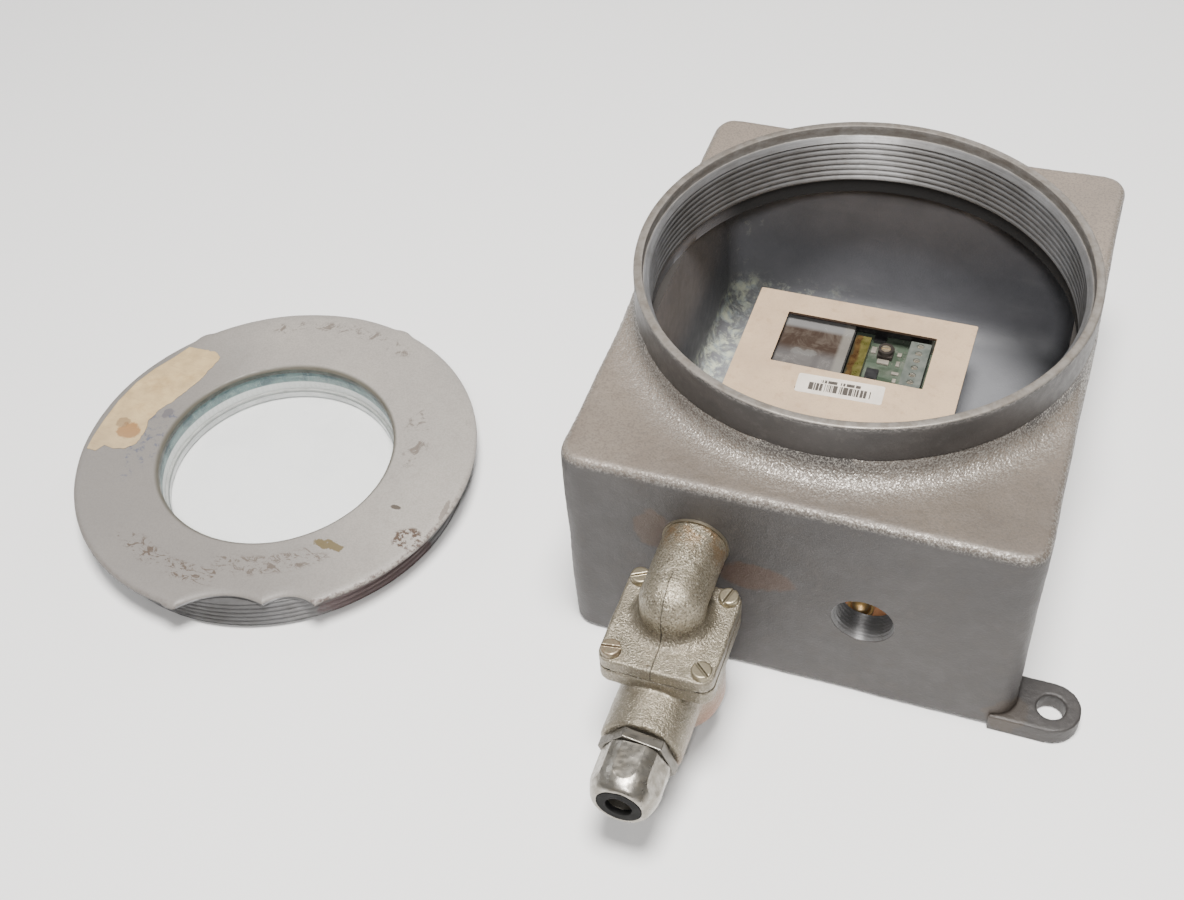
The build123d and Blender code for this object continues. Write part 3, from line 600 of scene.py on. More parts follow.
def thread_metal(name="collar_thread_metal", tone=1.0, tint=None, axis="Z"):
    """Bare turned aluminium, dulled with old grease, with turning marks along it."""
    p = Paint(name, Specular_IOR_Level=0.5, Anisotropic=0.95, Anisotropic_Rotation=0.25)
    around = p.node("ShaderNodeTangent", direction_type="RADIAL", axis=axis)
    p.set("Tangent", around.outputs[0])
    marks = p.noise(0.55, 3, 0.7, p.stretched(0.05, 0.05, 1.0))
    cloud = p.noise(16, 5, 0.65)
    bright = (0.235 * tone, 0.235 * tone, 0.24 * tone)
    dull = (0.18 * tone, 0.177 * tone, 0.176 * tone)
    p.base = p.blend(cloud, bright, dull, 0.35, 0.7)
    p.tint(p.levels(marks, 0.4, 0.75, 0.0, 0.45), (0.09 * tone, 0.088 * tone, 0.086 * tone))
    grime = p.patches(0.56, 0.72, 3.0, 5, 0.75)
    p.tint(grime, (0.06, 0.05, 0.042), 0.5)
    if tint is not None:
        p.tint(p.spot(*tint), (0.105, 0.062, 0.06), 0.7)
    p.set("Metallic", p.minus(0.6, p.times(grime, 0.3)))
    p.roughness(cloud, 0.54, 0.62)
    p.bump(marks, 0.05, 0.4)
    return p.done()


def cover_paint():
    """Pale warm grey paint with worn scrawls, stains and a few chips; painted shade in dark olive on
    the inner edge and in the bore, and near black low on the flange's side.
    """
    p = Paint("cover_face_paint", Specular_IOR_Level=0.45)
    x, y = COVER_X, COVER_Y
    top = COVER_TOP
    broad = p.noise(55, 5, 0.6)
    p.base = p.blend(broad, (0.305, 0.282, 0.256), (0.262, 0.245, 0.226))
    p.tint(p.levels(p.noise(6, 6, 0.7), 0.52, 0.8, 0.0, 0.35), (0.165, 0.148, 0.13))
    shade = p.levels(p.plus(p.axis(0), p.axis(1)), x + y + 60.0, x + y - 70.0)
    p.tint(shade, (0.15, 0.14, 0.131), 0.78)
    p.tint(p.levels(p.noise(0.9, 3, 0.6), 0.58, 0.4, 0.0, 0.18), (0.11, 0.098, 0.088))
    reach = p.reach(x, y)

    def arc(low, high):
        return p.times(p.levels(reach, low - 1.5, low + 1.5),
                       p.levels(reach, high + 1.5, high - 1.5))

    scrawl = p.patches(0.515, 0.56, 5.0, 6, 0.74, p.stretched(0.8, 1.3, 1.0), 1.6)
    faint = p.patches(0.52, 0.6, 7.0, 6, 0.78, None, 1.0)
    low_left = p.times(p.spot((x - 24.0, y - 79.0, top), (34.0, 13.0, None), 0.1, 14.0),
                       arc(76.0, 86.0))
    low_mid = p.times(p.spot((x + 34.0, y - 66.0, top), (32.0, 16.0, None), 0.12, 9.0),
                      arc(67.0, 78.0))
    upper = p.times(p.spot((x - 10.0, y + 86.0, top), (56.0, 12.0, None), 0.1, 9.0),
                    arc(84.0, 92.0))
    right = p.times(p.spot((x + 64.0, y + 26.0, top), (9.0, 22.0, None), 0.15, 8.0),
                    arc(64.0, 76.0))
    marks = p.times(p.most(p.times(low_left, 0.95), p.times(low_mid, 0.75)), scrawl)
    soft = p.times(p.most(upper, right), faint)
    p.tint(p.most(marks, p.times(soft, 0.7)), (0.066, 0.044, 0.03), 0.9)
    bluish = p.times(p.spot((x - 64.0, y - 14.0, top), (9.0, 22.0, None), 0.3, 6.0),
                     p.patches(0.53, 0.62, 4.2, 5, 0.75))
    p.tint(bluish, (0.07, 0.078, 0.115), 0.75)
    purple = p.spot((x - 65.4, y + 6.9, top), (2.6, 3.2, None), 0.3, 3.0)
    p.tint(purple, (0.075, 0.07, 0.085), 0.6)
    olive = p.spot((x + 53.0, y - 47.0, top), (6.6, 2.6, None), 0.75, 4.0)
    p.tint(olive, (0.105, 0.078, 0.03), 0.9)
    peppered = p.times(p.spot((x + 86.5, y - 33.5, top), (7.0, 6.5, None), 0.2, 6.0),
                       p.patches(0.48, 0.55, 2.4, 5, 0.7))
    p.tint(peppered, (0.05, 0.026, 0.014), 0.92)
    chip = p.spot((x + 73.0, y - 17.0, top), (3.0, 1.5, None), 0.3, 2.5)
    p.tint(chip, (0.052, 0.04, 0.03), 0.9)
    scratch = p.times(p.spot((x + 96.0, y - 12.5, top), (1.3, 7.0, None), 0.35, 3.0), 0.6)
    p.tint(scratch, (0.085, 0.065, 0.05))
    bevel = p.levels(reach, FLANGE_R - 2.2, FLANGE_R - 0.9)
    ragged = p.patches(0.44, 0.6, 2.4, 5, 0.75)
    near = p.times(p.levels(p.axis(1), y + 30.0, y - 40.0),
                   p.levels(p.axis(0), x + 10.0, x + 50.0, 0.25, 1.0))
    p.tint(p.times(bevel, ragged, near), (0.095, 0.07, 0.062))
    # Painted shade: the flange's side is near black just above its lower edge.
    side = p.levels(p.axis(2), FLANGE_LOW_Z + 1.6, FLANGE_LOW_Z + 0.3)
    p.tint(side, (0.03, 0.022, 0.019), 0.9)
    # Painted shade: the rounded inner edge is darkened towards olive, and the bore below it is dark
    # olive.
    throat = p.levels(reach, WINDOW_R + 2.6, WINDOW_R + 0.6)
    p.tint(throat, (0.068, 0.062, 0.044), 0.85)
    bore = p.times(p.levels(reach, WINDOW_R + 0.7, WINDOW_R + 0.2),
                   p.levels(p.axis(2), top - 1.6, top - 2.2))
    painted_bore_shade = p.mix(p.patches(0.35, 0.65, 7, 5, 0.65), (0.05, 0.06, 0.05), (0.026, 0.03, 0.024))
    p.tint(bore, painted_bore_shade)
    p.roughness(p.noise(5, 4, 0.6), 0.42, 0.56)
    wavy = p.bump(p.noise(4.5, 4, 0.55), 0.3, 0.35)
    height = p.minus(p.noise(0.9, 3, 0.6), p.most(peppered, chip))
    p.bump(height, 0.1, 0.6, wavy)
    return p.done()


def entry_metal():
    """Bright rough die casting: orange peel, dark hollows, tarnish and a parting seam, with painted
    shade at the dome's foot and low down, and a painted reddish reflection low on the chamber.
    """
    p = Paint("entry_casting_metal", Specular_IOR_Level=0.5)
    dome = p.levels(p.axis(2), 66.8, 71.0)
    broad = p.noise(14, 5, 0.6)
    peel = p.noise(0.85, 3, 0.6)
    p.base = p.blend(broad, (0.345, 0.305, 0.23), (0.25, 0.222, 0.168))
    pit = p.levels(peel, 0.5, 0.36)
    p.tint(p.times(pit, p.plus(p.times(dome, 0.42), 0.46)), (0.06, 0.048, 0.03))
    glint = p.levels(peel, 0.56, 0.66)
    p.tint(glint, (0.66, 0.62, 0.52), 0.65)
    wander = p.times(p.minus(p.noise(5, 3, 0.5), 0.5), 0.8)
    seam_x = p.plus(p.minus(p.axis(0), SEAM_X), wander)
    line = p.levels(p.math("ABSOLUTE", seam_x), 0.36, 0.1)
    ahead = p.levels(p.axis(1), -146.0, -149.0)
    above = p.levels(p.axis(2), 60.2, 61.2)
    line = p.times(line, ahead, above)
    # Painted shade: darker round the foot of the dome and, below the dome, on the flange and the
    # chamber.
    foot = p.times(p.levels(p.axis(2), 75.0, 69.0), p.levels(p.reach(ENTRY_X, ELBOW_Y), 20.0, 17.0))
    p.tint(foot, (0.07, 0.058, 0.042), 0.4)
    p.tint(p.levels(p.axis(2), 68.5, 66.5, 0.0, 0.3), (0.06, 0.052, 0.04))
    p.tint(line, (0.024, 0.02, 0.014), 0.85)
    grime = p.patches(0.54, 0.72, 7, 6, 0.72)
    p.tint(grime, (0.095, 0.07, 0.04), 0.4)
    near_wall = p.levels(p.axis(1), -138.0, -126.0)
    tint = p.times(near_wall, p.patches(0.4, 0.62, 6, 5, 0.65))
    p.tint(tint, (0.21, 0.12, 0.05), 0.6)
    # Painted reflection: the reddish-brown patch low on the chamber's right is the wooden table
    # under the part, reflected in the metal.
    rust = p.times(p.levels(p.axis(2), 46.0, 22.0), p.levels(p.axis(0), ENTRY_X + 9, ENTRY_X + 20))
    p.tint(rust, (0.25, 0.085, 0.045), 0.6)
    p.set("Metallic", p.minus(0.82, p.times(pit, 0.4)))
    p.roughness(p.noise(3, 4, 0.6), 0.28, 0.42)
    coarse = p.bump(p.noise(2.4, 3, 0.5), 0.25, 0.4)
    peel_bump = p.bump(peel, 0.55, 0.9, coarse)
    height = p.minus(p.noise(0.45, 2, 0.5), p.times(line, 2.0))
    p.bump(height, 0.12, 0.5, peel_bump)
    return p.done()


def dull_nickel(name="gland_nickel_metal", tone=1.0):
    """Dirty nickel plate, bright on its high edges and dark in its corners."""
    p = Paint(name, Specular_IOR_Level=0.5)
    cloud = p.noise(5, 5, 0.65)
    p.base = p.blend(cloud, (0.375 * tone, 0.358 * tone, 0.322 * tone),
                     (0.235 * tone, 0.215 * tone, 0.18 * tone), 0.3, 0.72)
    grime = p.patches(0.56, 0.7, 1.8, 5, 0.75)
    p.tint(grime, (0.08, 0.06, 0.04), 0.45)
    p.tint(p.pointiness(0.495, 0.44), (0.05, 0.04, 0.03))
    p.tint(p.pointiness(0.52, 0.57), (0.52 * tone, 0.5 * tone, 0.46 * tone), 0.6)
    p.set("Metallic", p.minus(0.88, p.times(grime, 0.4)))
    p.roughness(p.noise(2.5, 4, 0.6), 0.26, 0.38)
    height = p.plus(p.noise(3.0, 3, 0.5), p.times(p.noise(0.6, 3, 0.6), 0.3))
    p.bump(height, 0.14, 0.5)
    return p.done()


def screw_metal(name, tint, rust_x=None):
    p = Paint(name, Specular_IOR_Level=0.5)
    cloud = p.noise(2.4, 4, 0.6)
    dark = tuple(c * 0.62 for c in tint)
    p.base = p.blend(cloud, tint, dark)
    p.tint(p.pointiness(0.495, 0.44), (0.035, 0.028, 0.02))
    p.tint(p.pointiness(0.52, 0.58), (0.55, 0.51, 0.42), 0.6)
    rust = p.patches(0.6, 0.72, 1.8, 4, 0.7)
    if rust_x is not None:
        rusty = p.times(p.levels(p.axis(0), rust_x + 4, rust_x - 4), 0.75)
        front = p.levels(p.axis(1), -160.0, -168.0)
        rust = p.most(p.times(rust, 0.3), p.times(rusty, front))
        patchy = p.patches(0.35, 0.6, 1.2, 4, 0.7)
        rust = p.times(rust, patchy)
    p.tint(rust, (0.11, 0.066, 0.038))
    p.set("Metallic", p.minus(0.9, p.times(rust, 0.6)))
    p.roughness(cloud, 0.3, 0.48)
    p.bump(p.noise(0.7, 3, 0.6), 0.08, 0.4)
    return p.done()


def rubber(name):
    p = Paint(name, Specular_IOR_Level=0.12)
    cloud = p.noise(4, 4, 0.6)
    p.base = p.blend(cloud, (0.004, 0.004, 0.004), (0.01, 0.01, 0.01), 0.35, 0.7)
    dust = p.patches(0.6, 0.74, 1.2, 5, 0.75)
    p.tint(dust, (0.06, 0.05, 0.042), 0.2)
    p.roughness(cloud, 0.55, 0.72)
    p.bump(p.noise(0.8, 3, 0.6), 0.06, 0.4)
    return p.done()


def faceplate_paint():
    """Pale beige anodised sheet with fingered smudges, brown along its cut edges."""
    p = Paint("faceplate_beige", Specular_IOR_Level=0.45)
    broad = p.noise(30, 5, 0.6)
    fine = p.noise(0.6, 3, 0.6)
    p.base = p.blend(broad, (0.545, 0.398, 0.262), (0.455, 0.335, 0.226))
    p.tint(p.levels(fine, 0.45, 0.75, 0.0, 0.45), (0.34, 0.25, 0.175))
    p.tint(p.levels(p.noise(7, 6, 0.75), 0.5, 0.74, 0.0, 0.5), (0.3, 0.205, 0.125))
    side = p.levels(p.facing(2), 0.8, 0.5)
    p.tint(side, (0.055, 0.032, 0.02))
    hole = p.spot((-28.9, 11.4, PLATE_TOP), (1.6, 1.6, None), 0.1, 2.0)
    p.tint(hole, (0.035, 0.025, 0.02))
    p.roughness(p.noise(5, 4, 0.6), 0.4, 0.52)
    p.bump(fine, 0.06, 0.4)
    return p.done()


def label_paper():
    """White paper with a generic row of bars and a row of small blocks, no lettering."""
    p = Paint("label_bars_paper", Specular_IOR_Level=0.35)
    middle = (LABEL_LOW + LABEL_HIGH) / 2
    tilt = math.radians(2.3)
    dx = p.minus(p.axis(0), middle[0])
    dy = p.minus(p.axis(1), middle[1])
    along = p.plus(p.times(dx, math.cos(tilt)), p.times(dy, math.sin(tilt)))
    across = p.minus(p.times(dy, math.cos(tilt)), p.times(dx, math.sin(tilt)))

    def bars(step, threshold, half_length, centre, half_height):
        cell = p.math("FLOOR", p.math("DIVIDE", along, step))
        random = p.made("ShaderNodeTexWhiteNoise", {"W": cell}, noise_dimensions="1D")
        ink = p.math("GREATER_THAN", random.outputs["Value"], threshold)
        inside = p.math("LESS_THAN", p.math("ABSOLUTE", along), half_length)
        band = p.math("LESS_THAN", p.math("ABSOLUTE", p.minus(across, centre)), half_height)
        return p.times(ink, inside, band)

    ink = p.most(bars(0.34, 0.28, 14.8, -1.2, 2.5), bars(0.55, 0.24, 9.5, 2.9, 1.0))
    paper = p.mix(p.patches(0.3, 0.7, 9, 5, 0.6), (0.72, 0.66, 0.585), (0.62, 0.565, 0.495))
    p.base = p.mix(p.times(ink, 0.94), paper, (0.03, 0.025, 0.022))
    p.roughness(p.noise(3, 3, 0.5), 0.52, 0.66)
    p.bump(p.noise(0.7, 3, 0.6), 0.03, 0.3)
    return p.done()


def tape_paper():
    """Old cream masking tape with creping across it and brown blotches."""
    p = Paint("masking_tape_paper", Specular_IOR_Level=0.3, Sheen_Weight=0.05)
    crepe = p.noise(1.3, 3, 0.6, p.stretched(0.35, 1.6, 1.0))
    p.base = p.mix(p.patches(0.3, 0.7, 9, 5, 0.6), (0.5, 0.375, 0.2), (0.385, 0.28, 0.15))
    blot = p.patches(0.5, 0.72, 14, 5, 0.65)
    p.tint(blot, (0.3, 0.185, 0.08), 0.5)
    stain = p.spot((COVER_X - 78.5, COVER_Y - 9.5, COVER_TOP), (6.0, 5.5, None), 0.3, 5.0)
    p.tint(stain, (0.23, 0.095, 0.018), 0.85)
    dark = p.spot((COVER_X - 84.0, COVER_Y - 5.5, COVER_TOP), (3.6, 3.6, None), 0.3, 4.0)
    p.tint(dark, (0.12, 0.06, 0.025), 0.6)
    greyed = p.levels(p.axis(1), COVER_Y + 10.0, COVER_Y - 25.0)
    p.tint(greyed, (0.29, 0.235, 0.165), 0.35)
    p.tint(p.levels(crepe, 0.5, 0.8, 0.0, 0.3), (0.23, 0.165, 0.095))
    p.roughness(crepe, 0.55, 0.7)
    p.bump(crepe, 0.09, 0.6)
    return p.done()


def lens_glass():
    """Thick clear glass with a faint green cast and a few smears."""
    p = Paint("sight_glass", IOR=1.5, Specular_IOR_Level=0.5)
    smear = p.patches(0.45, 0.75, 26, 5, 0.65, None, 0.5)
    p.set("Base Color", p.mix(smear, (0.55, 0.66, 0.64), (0.62, 0.68, 0.66)))
    p.set("Alpha", p.levels(smear, 0.0, 1.0, 0.05, 0.09))
    p.set("Roughness", p.plus(p.times(smear, 0.06), 0.02))
    return p.material


def cement_compound():
    """Cloudy blue-green sealing compound, pale where it beds the glass lower down."""
    p = Paint("sealing_compound_teal", Specular_IOR_Level=0.4)
    cloud = p.noise(7, 5, 0.65)
    p.base = p.blend(cloud, (0.105, 0.17, 0.168), (0.045, 0.08, 0.09), 0.35, 0.65)
    p.tint(p.levels(p.noise(3.2, 4, 0.7), 0.52, 0.7, 0.0, 0.5), (0.2, 0.26, 0.245))
    bedding = p.levels(p.axis(2), LIP_Z - 6.0, LIP_Z - 6.8)
    p.tint(bedding, (0.6, 0.61, 0.6), 0.95)
    p.roughness(cloud, 0.35, 0.55)
    p.bump(p.noise(1.6, 4, 0.6), 0.2, 0.4)
    return p.done()


def board_laminate():
    """Dusty green solder mask with tracks under it, tinned pads and vias."""
    p = Paint("board_solder_mask", Specular_IOR_Level=0.5, Coat_Weight=0.3, Coat_Roughness=0.2)
    lanes = p.speck(3.2, p.stretched(1.0, 0.16, 1.0))
    lanes_b = p.speck(2.6, p.stretched(0.2, 1.0, 1.0))
    track = p.most(p.levels(lanes, 0.6, 0.64), p.levels(lanes_b, 0.72, 0.76))
    p.base = p.mix(p.patches(0.3, 0.7, 12, 4, 0.6), (0.036, 0.052, 0.034), (0.055, 0.072, 0.052))
    p.tint(track, (0.075, 0.098, 0.072), 0.6)
    haze = p.patches(0.45, 0.7, 7, 5, 0.65)
    p.tint(haze, (0.155, 0.16, 0.135), 0.45)
    via = p.levels(p.cells(2.3)["Distance"], 0.2, 0.15)
    sparse = p.levels(p.speck(2.3), 0.62, 0.66)
    tin = p.times(via, sparse)
    p.tint(tin, (0.36, 0.35, 0.3))
    p.set("Metallic", p.times(tin, 0.9))
    p.roughness(p.noise(4, 3, 0.5), 0.28, 0.42)
    p.bump(p.plus(track, tin), 0.06, 0.6)
    return p.done()


def display_glass_look():
    """Grey liquid-crystal glass: a brown clouded upper half and a paler lower half."""
    p = Paint("display_glass_look", Specular_IOR_Level=0.6, Coat_Weight=0.6, Coat_Roughness=0.06)
    low, high = node_box("display_glass")
    share = p.levels(p.axis(1), low[1] + 17.0, low[1] + 25.0)
    cloud = p.noise(11, 5, 0.65, None, 0.6)
    under = p.blend(cloud, (0.092, 0.086, 0.085), (0.132, 0.124, 0.119), 0.35, 0.7)
    over = p.blend(cloud, (0.046, 0.032, 0.025), (0.092, 0.075, 0.062), 0.38, 0.6)
    p.base = p.mix(share, under, over)
    pale = p.spot((low[0] + 15.0, low[1] + 20.0, high[2]), (7.0, 2.2, None), 0.8, 7.0)
    p.tint(pale, (0.17, 0.17, 0.165), 0.4)
    top = p.levels(p.axis(1), high[1] - 9.5, high[1] - 6.0)
    p.tint(top, (0.19, 0.19, 0.19), 0.8)
    right = p.levels(p.axis(0), high[0] - 6.0, high[0] - 3.5)
    p.tint(right, (0.21, 0.2, 0.18), 0.65)
    p.roughness(cloud, 0.14, 0.3)
    p.bump(p.noise(5, 3, 0.5), 0.05, 0.3)
    return p.done()


def flex_film():
    """Ribbon in stripes of olive, rust brown and dark green."""
    p = Paint("flex_film_olive", Specular_IOR_Level=0.5)
    low, high = node_box("display_flex_strip")
    width = high[0] - low[0]
    wander = p.times(p.minus(p.noise(9, 4, 0.6), 0.5), 5.0)
    across = p.plus(p.minus(p.axis(0), low[0]), wander)
    cloud = p.noise(4, 5, 0.65)
    brown = p.blend(cloud, (0.04, 0.02, 0.008), (0.075, 0.045, 0.014), 0.35, 0.65)
    olive = p.blend(cloud, (0.06, 0.056, 0.014), (0.098, 0.086, 0.026), 0.35, 0.65)
    p.base = p.blend(across, brown, olive, width * 0.4, width * 0.55)
    p.tint(p.levels(across, width * 0.16, width * 0.02), (0.03, 0.026, 0.014))
    p.roughness(cloud, 0.25, 0.42)
    p.bump(p.noise(1.0, 3, 0.6), 0.05, 0.4)
    return p.done()


def plastic(name, first, second, size=5.0, rough=(0.38, 0.55), grain=0.05):
    p = Paint(name, Specular_IOR_Level=0.45)
    cloud = p.noise(size, 4, 0.6)
    p.base = p.blend(cloud, first, second)
    dust = p.patches(0.6, 0.75, 1.6, 5, 0.75)
    p.tint(dust, (0.13, 0.12, 0.1), 0.3)
    p.set("Roughness", p.levels(cloud, 0.3, 0.7, *rough))
    p.bump(p.noise(0.6, 3, 0.6), grain, 0.4)
    return p.done()


def sheet_steel(name, tint):
    p = Paint(name, Specular_IOR_Level=0.5)
    brushed = p.noise(1.2, 4, 0.65, p.stretched(0.08, 1.0, 1.0))
    cloud = p.noise(14, 5, 0.6)
    dark = tuple(c * 0.7 for c in tint)
    p.base = p.blend(cloud, tint, dark)
    p.tint(p.levels(brushed, 0.45, 0.8, 0.0, 0.4), tuple(c * 0.5 for c in tint))
    p.set("Metallic", p.levels(cloud, 0.2, 0.8, 0.95, 0.8))
    p.roughness(brushed, 0.28, 0.45)
    p.bump(brushed, 0.03, 0.4)
    return p.done()


# --------------------------------------------------------------- enclosure

def outline_reach(angle, half_x, half_y, corner):
    """Distance from the middle to a rounded rectangle's edge, along each angle."""
    c = np.abs(np.cos(angle))
    s = np.abs(np.sin(angle))
    flat = np.minimum(half_x / np.maximum(c, 1e-9), half_y / np.maximum(s, 1e-9))
    cx = half_x - corner
    cy = half_y - corner
    b = c * cx + s * cy
    root = np.sqrt(np.maximum(b * b - (cx * cx + cy * cy - corner * corner), 0))
    curved = b + root
    at_corner = (curved * c > cx) & (curved * s > cy)
    return np.where(at_corner, curved, flat)


def outline_depth(x, y, half_x, half_y, corner):
    """How far a plan point lies inside a rounded rectangle's edge."""
    qx = np.abs(x) - (half_x - corner)
    qy = np.abs(y) - (half_y - corner)
    outside = np.hypot(np.maximum(qx, 0), np.maximum(qy, 0))
    return corner - outside - np.minimum(np.maximum(qx, qy), 0)


def even_angles(count, half_x, half_y, corner):
    """Angles whose rays meet the rounded rectangle at even steps along its edge."""
    fine = np.linspace(0, 2 * math.pi, 20001)
    reach = outline_reach(fine, half_x, half_y, corner)
    x = reach * np.cos(fine)
    y = reach * np.sin(fine)
    length = np.concatenate([[0], np.cumsum(np.hypot(np.diff(x), np.diff(y)))])
    return np.interp(np.arange(count) / count * length[-1], length, fine)


def flare_height(reach):
    """Height of the flare above the top plate at a distance from the collar's axis."""
    gap = np.clip(COLLAR_R + FLARE - reach, 0, FLARE)
    return FLARE - np.sqrt(FLARE * FLARE - gap * gap)


def top_height(x, y):
    """Height of the cast top: plate, flare and rounded outer edge."""
    depth = np.clip(outline_depth(x, y, HALF_X, HALF_Y, CORNER_R), 0, TOP_EDGE_R)
    drop = TOP_EDGE_R - np.sqrt(np.maximum(TOP_EDGE_R ** 2 - (TOP_EDGE_R - depth) ** 2, 0))
    return PLATE_TOP_Z + flare_height(np.hypot(x, y)) - drop


def make_casting():
    """The box, top plate and flare as one closed surface, followed round by rays."""
    angle = even_angles(AROUND, HALF_X, HALF_Y, CORNER_R)
    c = np.cos(angle)
    s = np.sin(angle)
    edge = outline_reach(angle, HALF_X, HALF_Y, CORNER_R)
    rows = []

    def row(reach, z):
        rows.append(np.stack([reach * c, reach * s, np.broadcast_to(z, reach.shape)], -1))

    for share in (0.35, 0.7, 0.92):
        row(edge * share, 0.0)
    for turn in np.radians([0, 30, 60, 90]):
        row(edge - FOOT_R * (1 - math.sin(turn)), FOOT_R * (1 - math.cos(turn)))
    wall_top = top_height(edge * c, edge * s)
    for share in np.linspace(0, 1, 52)[1:]:
        row(edge, FOOT_R + (wall_top - FOOT_R) * share)
    span = edge - (COLLAR_R - 0.8)
    edge_zone = np.minimum(5.0, 0.35 * span)
    flare_zone = np.minimum(13.0, 0.45 * span)
    middle = span - edge_zone - flare_zone
    reaches = [edge - edge_zone * (1 - math.cos(t)) for t in np.radians(np.linspace(0, 90, 9))[1:]]
    reaches += [edge - edge_zone - middle * t for t in np.linspace(0, 1, 15)[1:]]
    reaches += [edge - edge_zone - middle - flare_zone * t for t in np.linspace(0, 1, 15)[1:]]
    top_from = len(rows) - 1
    for reach in reaches:
        row(reach, top_height(reach * c, reach * s))
    top_to = len(rows) - 1
    even = np.ones(AROUND)
    row((COLLAR_R - 2.4) * even, BAND_LOW_Z - 0.4)
    row((COLLAR_R - 2.4) * even, THREAD_LOW_Z + 0.6)
    row(RELIEF_R * even, THREAD_LOW_Z + 0.3)
    inside_from = len(rows) - 1
    for share in (0.5, 1.0):
        row(RELIEF_R * even, THREAD_LOW_Z + 0.3 + (CEILING_Z - THREAD_LOW_Z) * share)
    hollow_x = HALF_X - WALL
    hollow_y = HALF_Y - WALL
    cavity = outline_reach(angle, hollow_x, hollow_y, CAVITY_CORNER_R)
    for share in np.linspace(0, 1, 8)[1:]:
        row(RELIEF_R + (cavity - RELIEF_R) * share, CEILING_Z)
    fillet_top = FLOOR_Z + FLOOR_FILLET
    for share in np.linspace(0, 1, 40)[1:]:
        row(cavity, CEILING_Z + (fillet_top - CEILING_Z) * share)
    for turn in np.radians(np.linspace(0, 90, 9))[1:]:
        inset = FLOOR_FILLET * (1 - math.cos(turn))
        corner = max(CAVITY_CORNER_R - inset, 1.0)
        reach = outline_reach(angle, hollow_x - inset, hollow_y - inset, corner)
        row(reach, FLOOR_Z + FLOOR_FILLET * (1 - math.sin(turn)))
    floor = outline_reach(angle, hollow_x - FLOOR_FILLET, hollow_y - FLOOR_FILLET, 1.0)
    for share in (0.92, 0.82, 0.7, 0.55, 0.38, 0.2):
        row(floor * share, FLOOR_Z)

    grid = np.stack(rows)
    smooth = np.zeros(len(rows))
    smooth[top_from - 2:top_to - 1] = 1.0
    for _ in range(5):
        around = (np.roll(grid, 1, 1) + np.roll(grid, -1, 1)) / 2
        along = grid.copy()
        along[1:-1] = (grid[2:] + grid[:-2]) / 2
        grid = grid + 0.5 * smooth[:, None, None] * ((around + along) / 2 - grid)

    obj = bowl_object("enclosure_casting", grid, (0, 0, 0), (0, 0, FLOOR_Z))
    inner = np.zeros(len(obj.data.vertices), bool)
    inner[inside_from * AROUND:len(rows) * AROUND] = True
    inner[-1] = True
    set_materials(obj, [all(inner[v] for v in polygon.vertices) for polygon in obj.data.polygons])

    def outer_only(p):
        return np.where(inner, 0.35, 1.0) * np.where(p[:, 2] < 0.5, 0.0, 1.0)

    def near_flare(p):
        reach = np.hypot(p[:, 0], p[:, 1])
        return smoothstep(reach, 118, 102) * smoothstep(p[:, 2], 106, 110) * np.where(inner, 0, 1)

    roughen(obj, 0.45, 42.0, 2, 3.1, outer_only)
    roughen(obj, 0.13, 2.6, 3, 7.7, outer_only)
    roughen(obj, 0.16, 1.9, 3, 1.9, near_flare)

    cutters = [front_cutter(CONDUIT_X, CONDUIT_Z, CONDUIT_R),
               front_cutter(ENTRY_X, ENTRY_HOLE_Z, ENTRY_HOLE_R)]
    for cutter in cutters:
        cut = obj.modifiers.new("hole", "BOOLEAN")
        cut.operation = "DIFFERENCE"
        cut.object = cutter
        cut.solver = "EXACT"
    applied(obj)
    for cutter in cutters:
        bpy.data.objects.remove(cutter)

    points = read_points(obj) / MM
    reach = np.hypot(points[:, 0], points[:, 1])
    depth = outline_depth(points[:, 0], points[:, 1], HALF_X, HALF_Y, CORNER_R)
    outer = smoothstep(depth, 9.0, 6.0) + (points[:, 2] > PLATE_TOP_Z - 6)
    flare = smoothstep(reach, 117, 100) * smoothstep(points[:, 2], 104, 110.4) * (outer > 0)
    edge_mask = smoothstep(depth, 3.6, 1.2) * smoothstep(points[:, 2], 106.8, 109.2)
    for name, values in (("flare", flare), ("edge", edge_mask)):
        layer = obj.data.attributes.new(name, "FLOAT", "POINT")
        layer.data.foreach_set("value", values.astype(np.float32))
    shade_smooth(obj.data, 50)
    return obj


def front_cutter(x, z, radius):
    """A rod along Y that passes through the front wall."""
    mesh = bpy.data.meshes.new("cutter")
    work = bmesh.new()
    bmesh.ops.create_cone(work, cap_ends=True, segments=96, radius1=radius * MM,
                          radius2=radius * MM, depth=(WALL + 6) * MM)
    work.to_mesh(mesh)
    work.free()
    obj = link(bpy.data.objects.new("cutter", mesh))
    middle = Vector((x, -HALF_Y + WALL / 2, z)) * MM
    mesh.transform(Matrix.Translation(middle) @ Matrix.Rotation(math.radians(90), 4, "X"))
    return obj


def thread_wave(turns, crest=0.12, flank=0.74):
    """Depth of a V thread with flat crests, 0 at the crest and 1 at the root."""
    share = np.abs((turns % 1.0) * 2 - 1)
    return np.clip((share - crest) / flank, 0, 1)


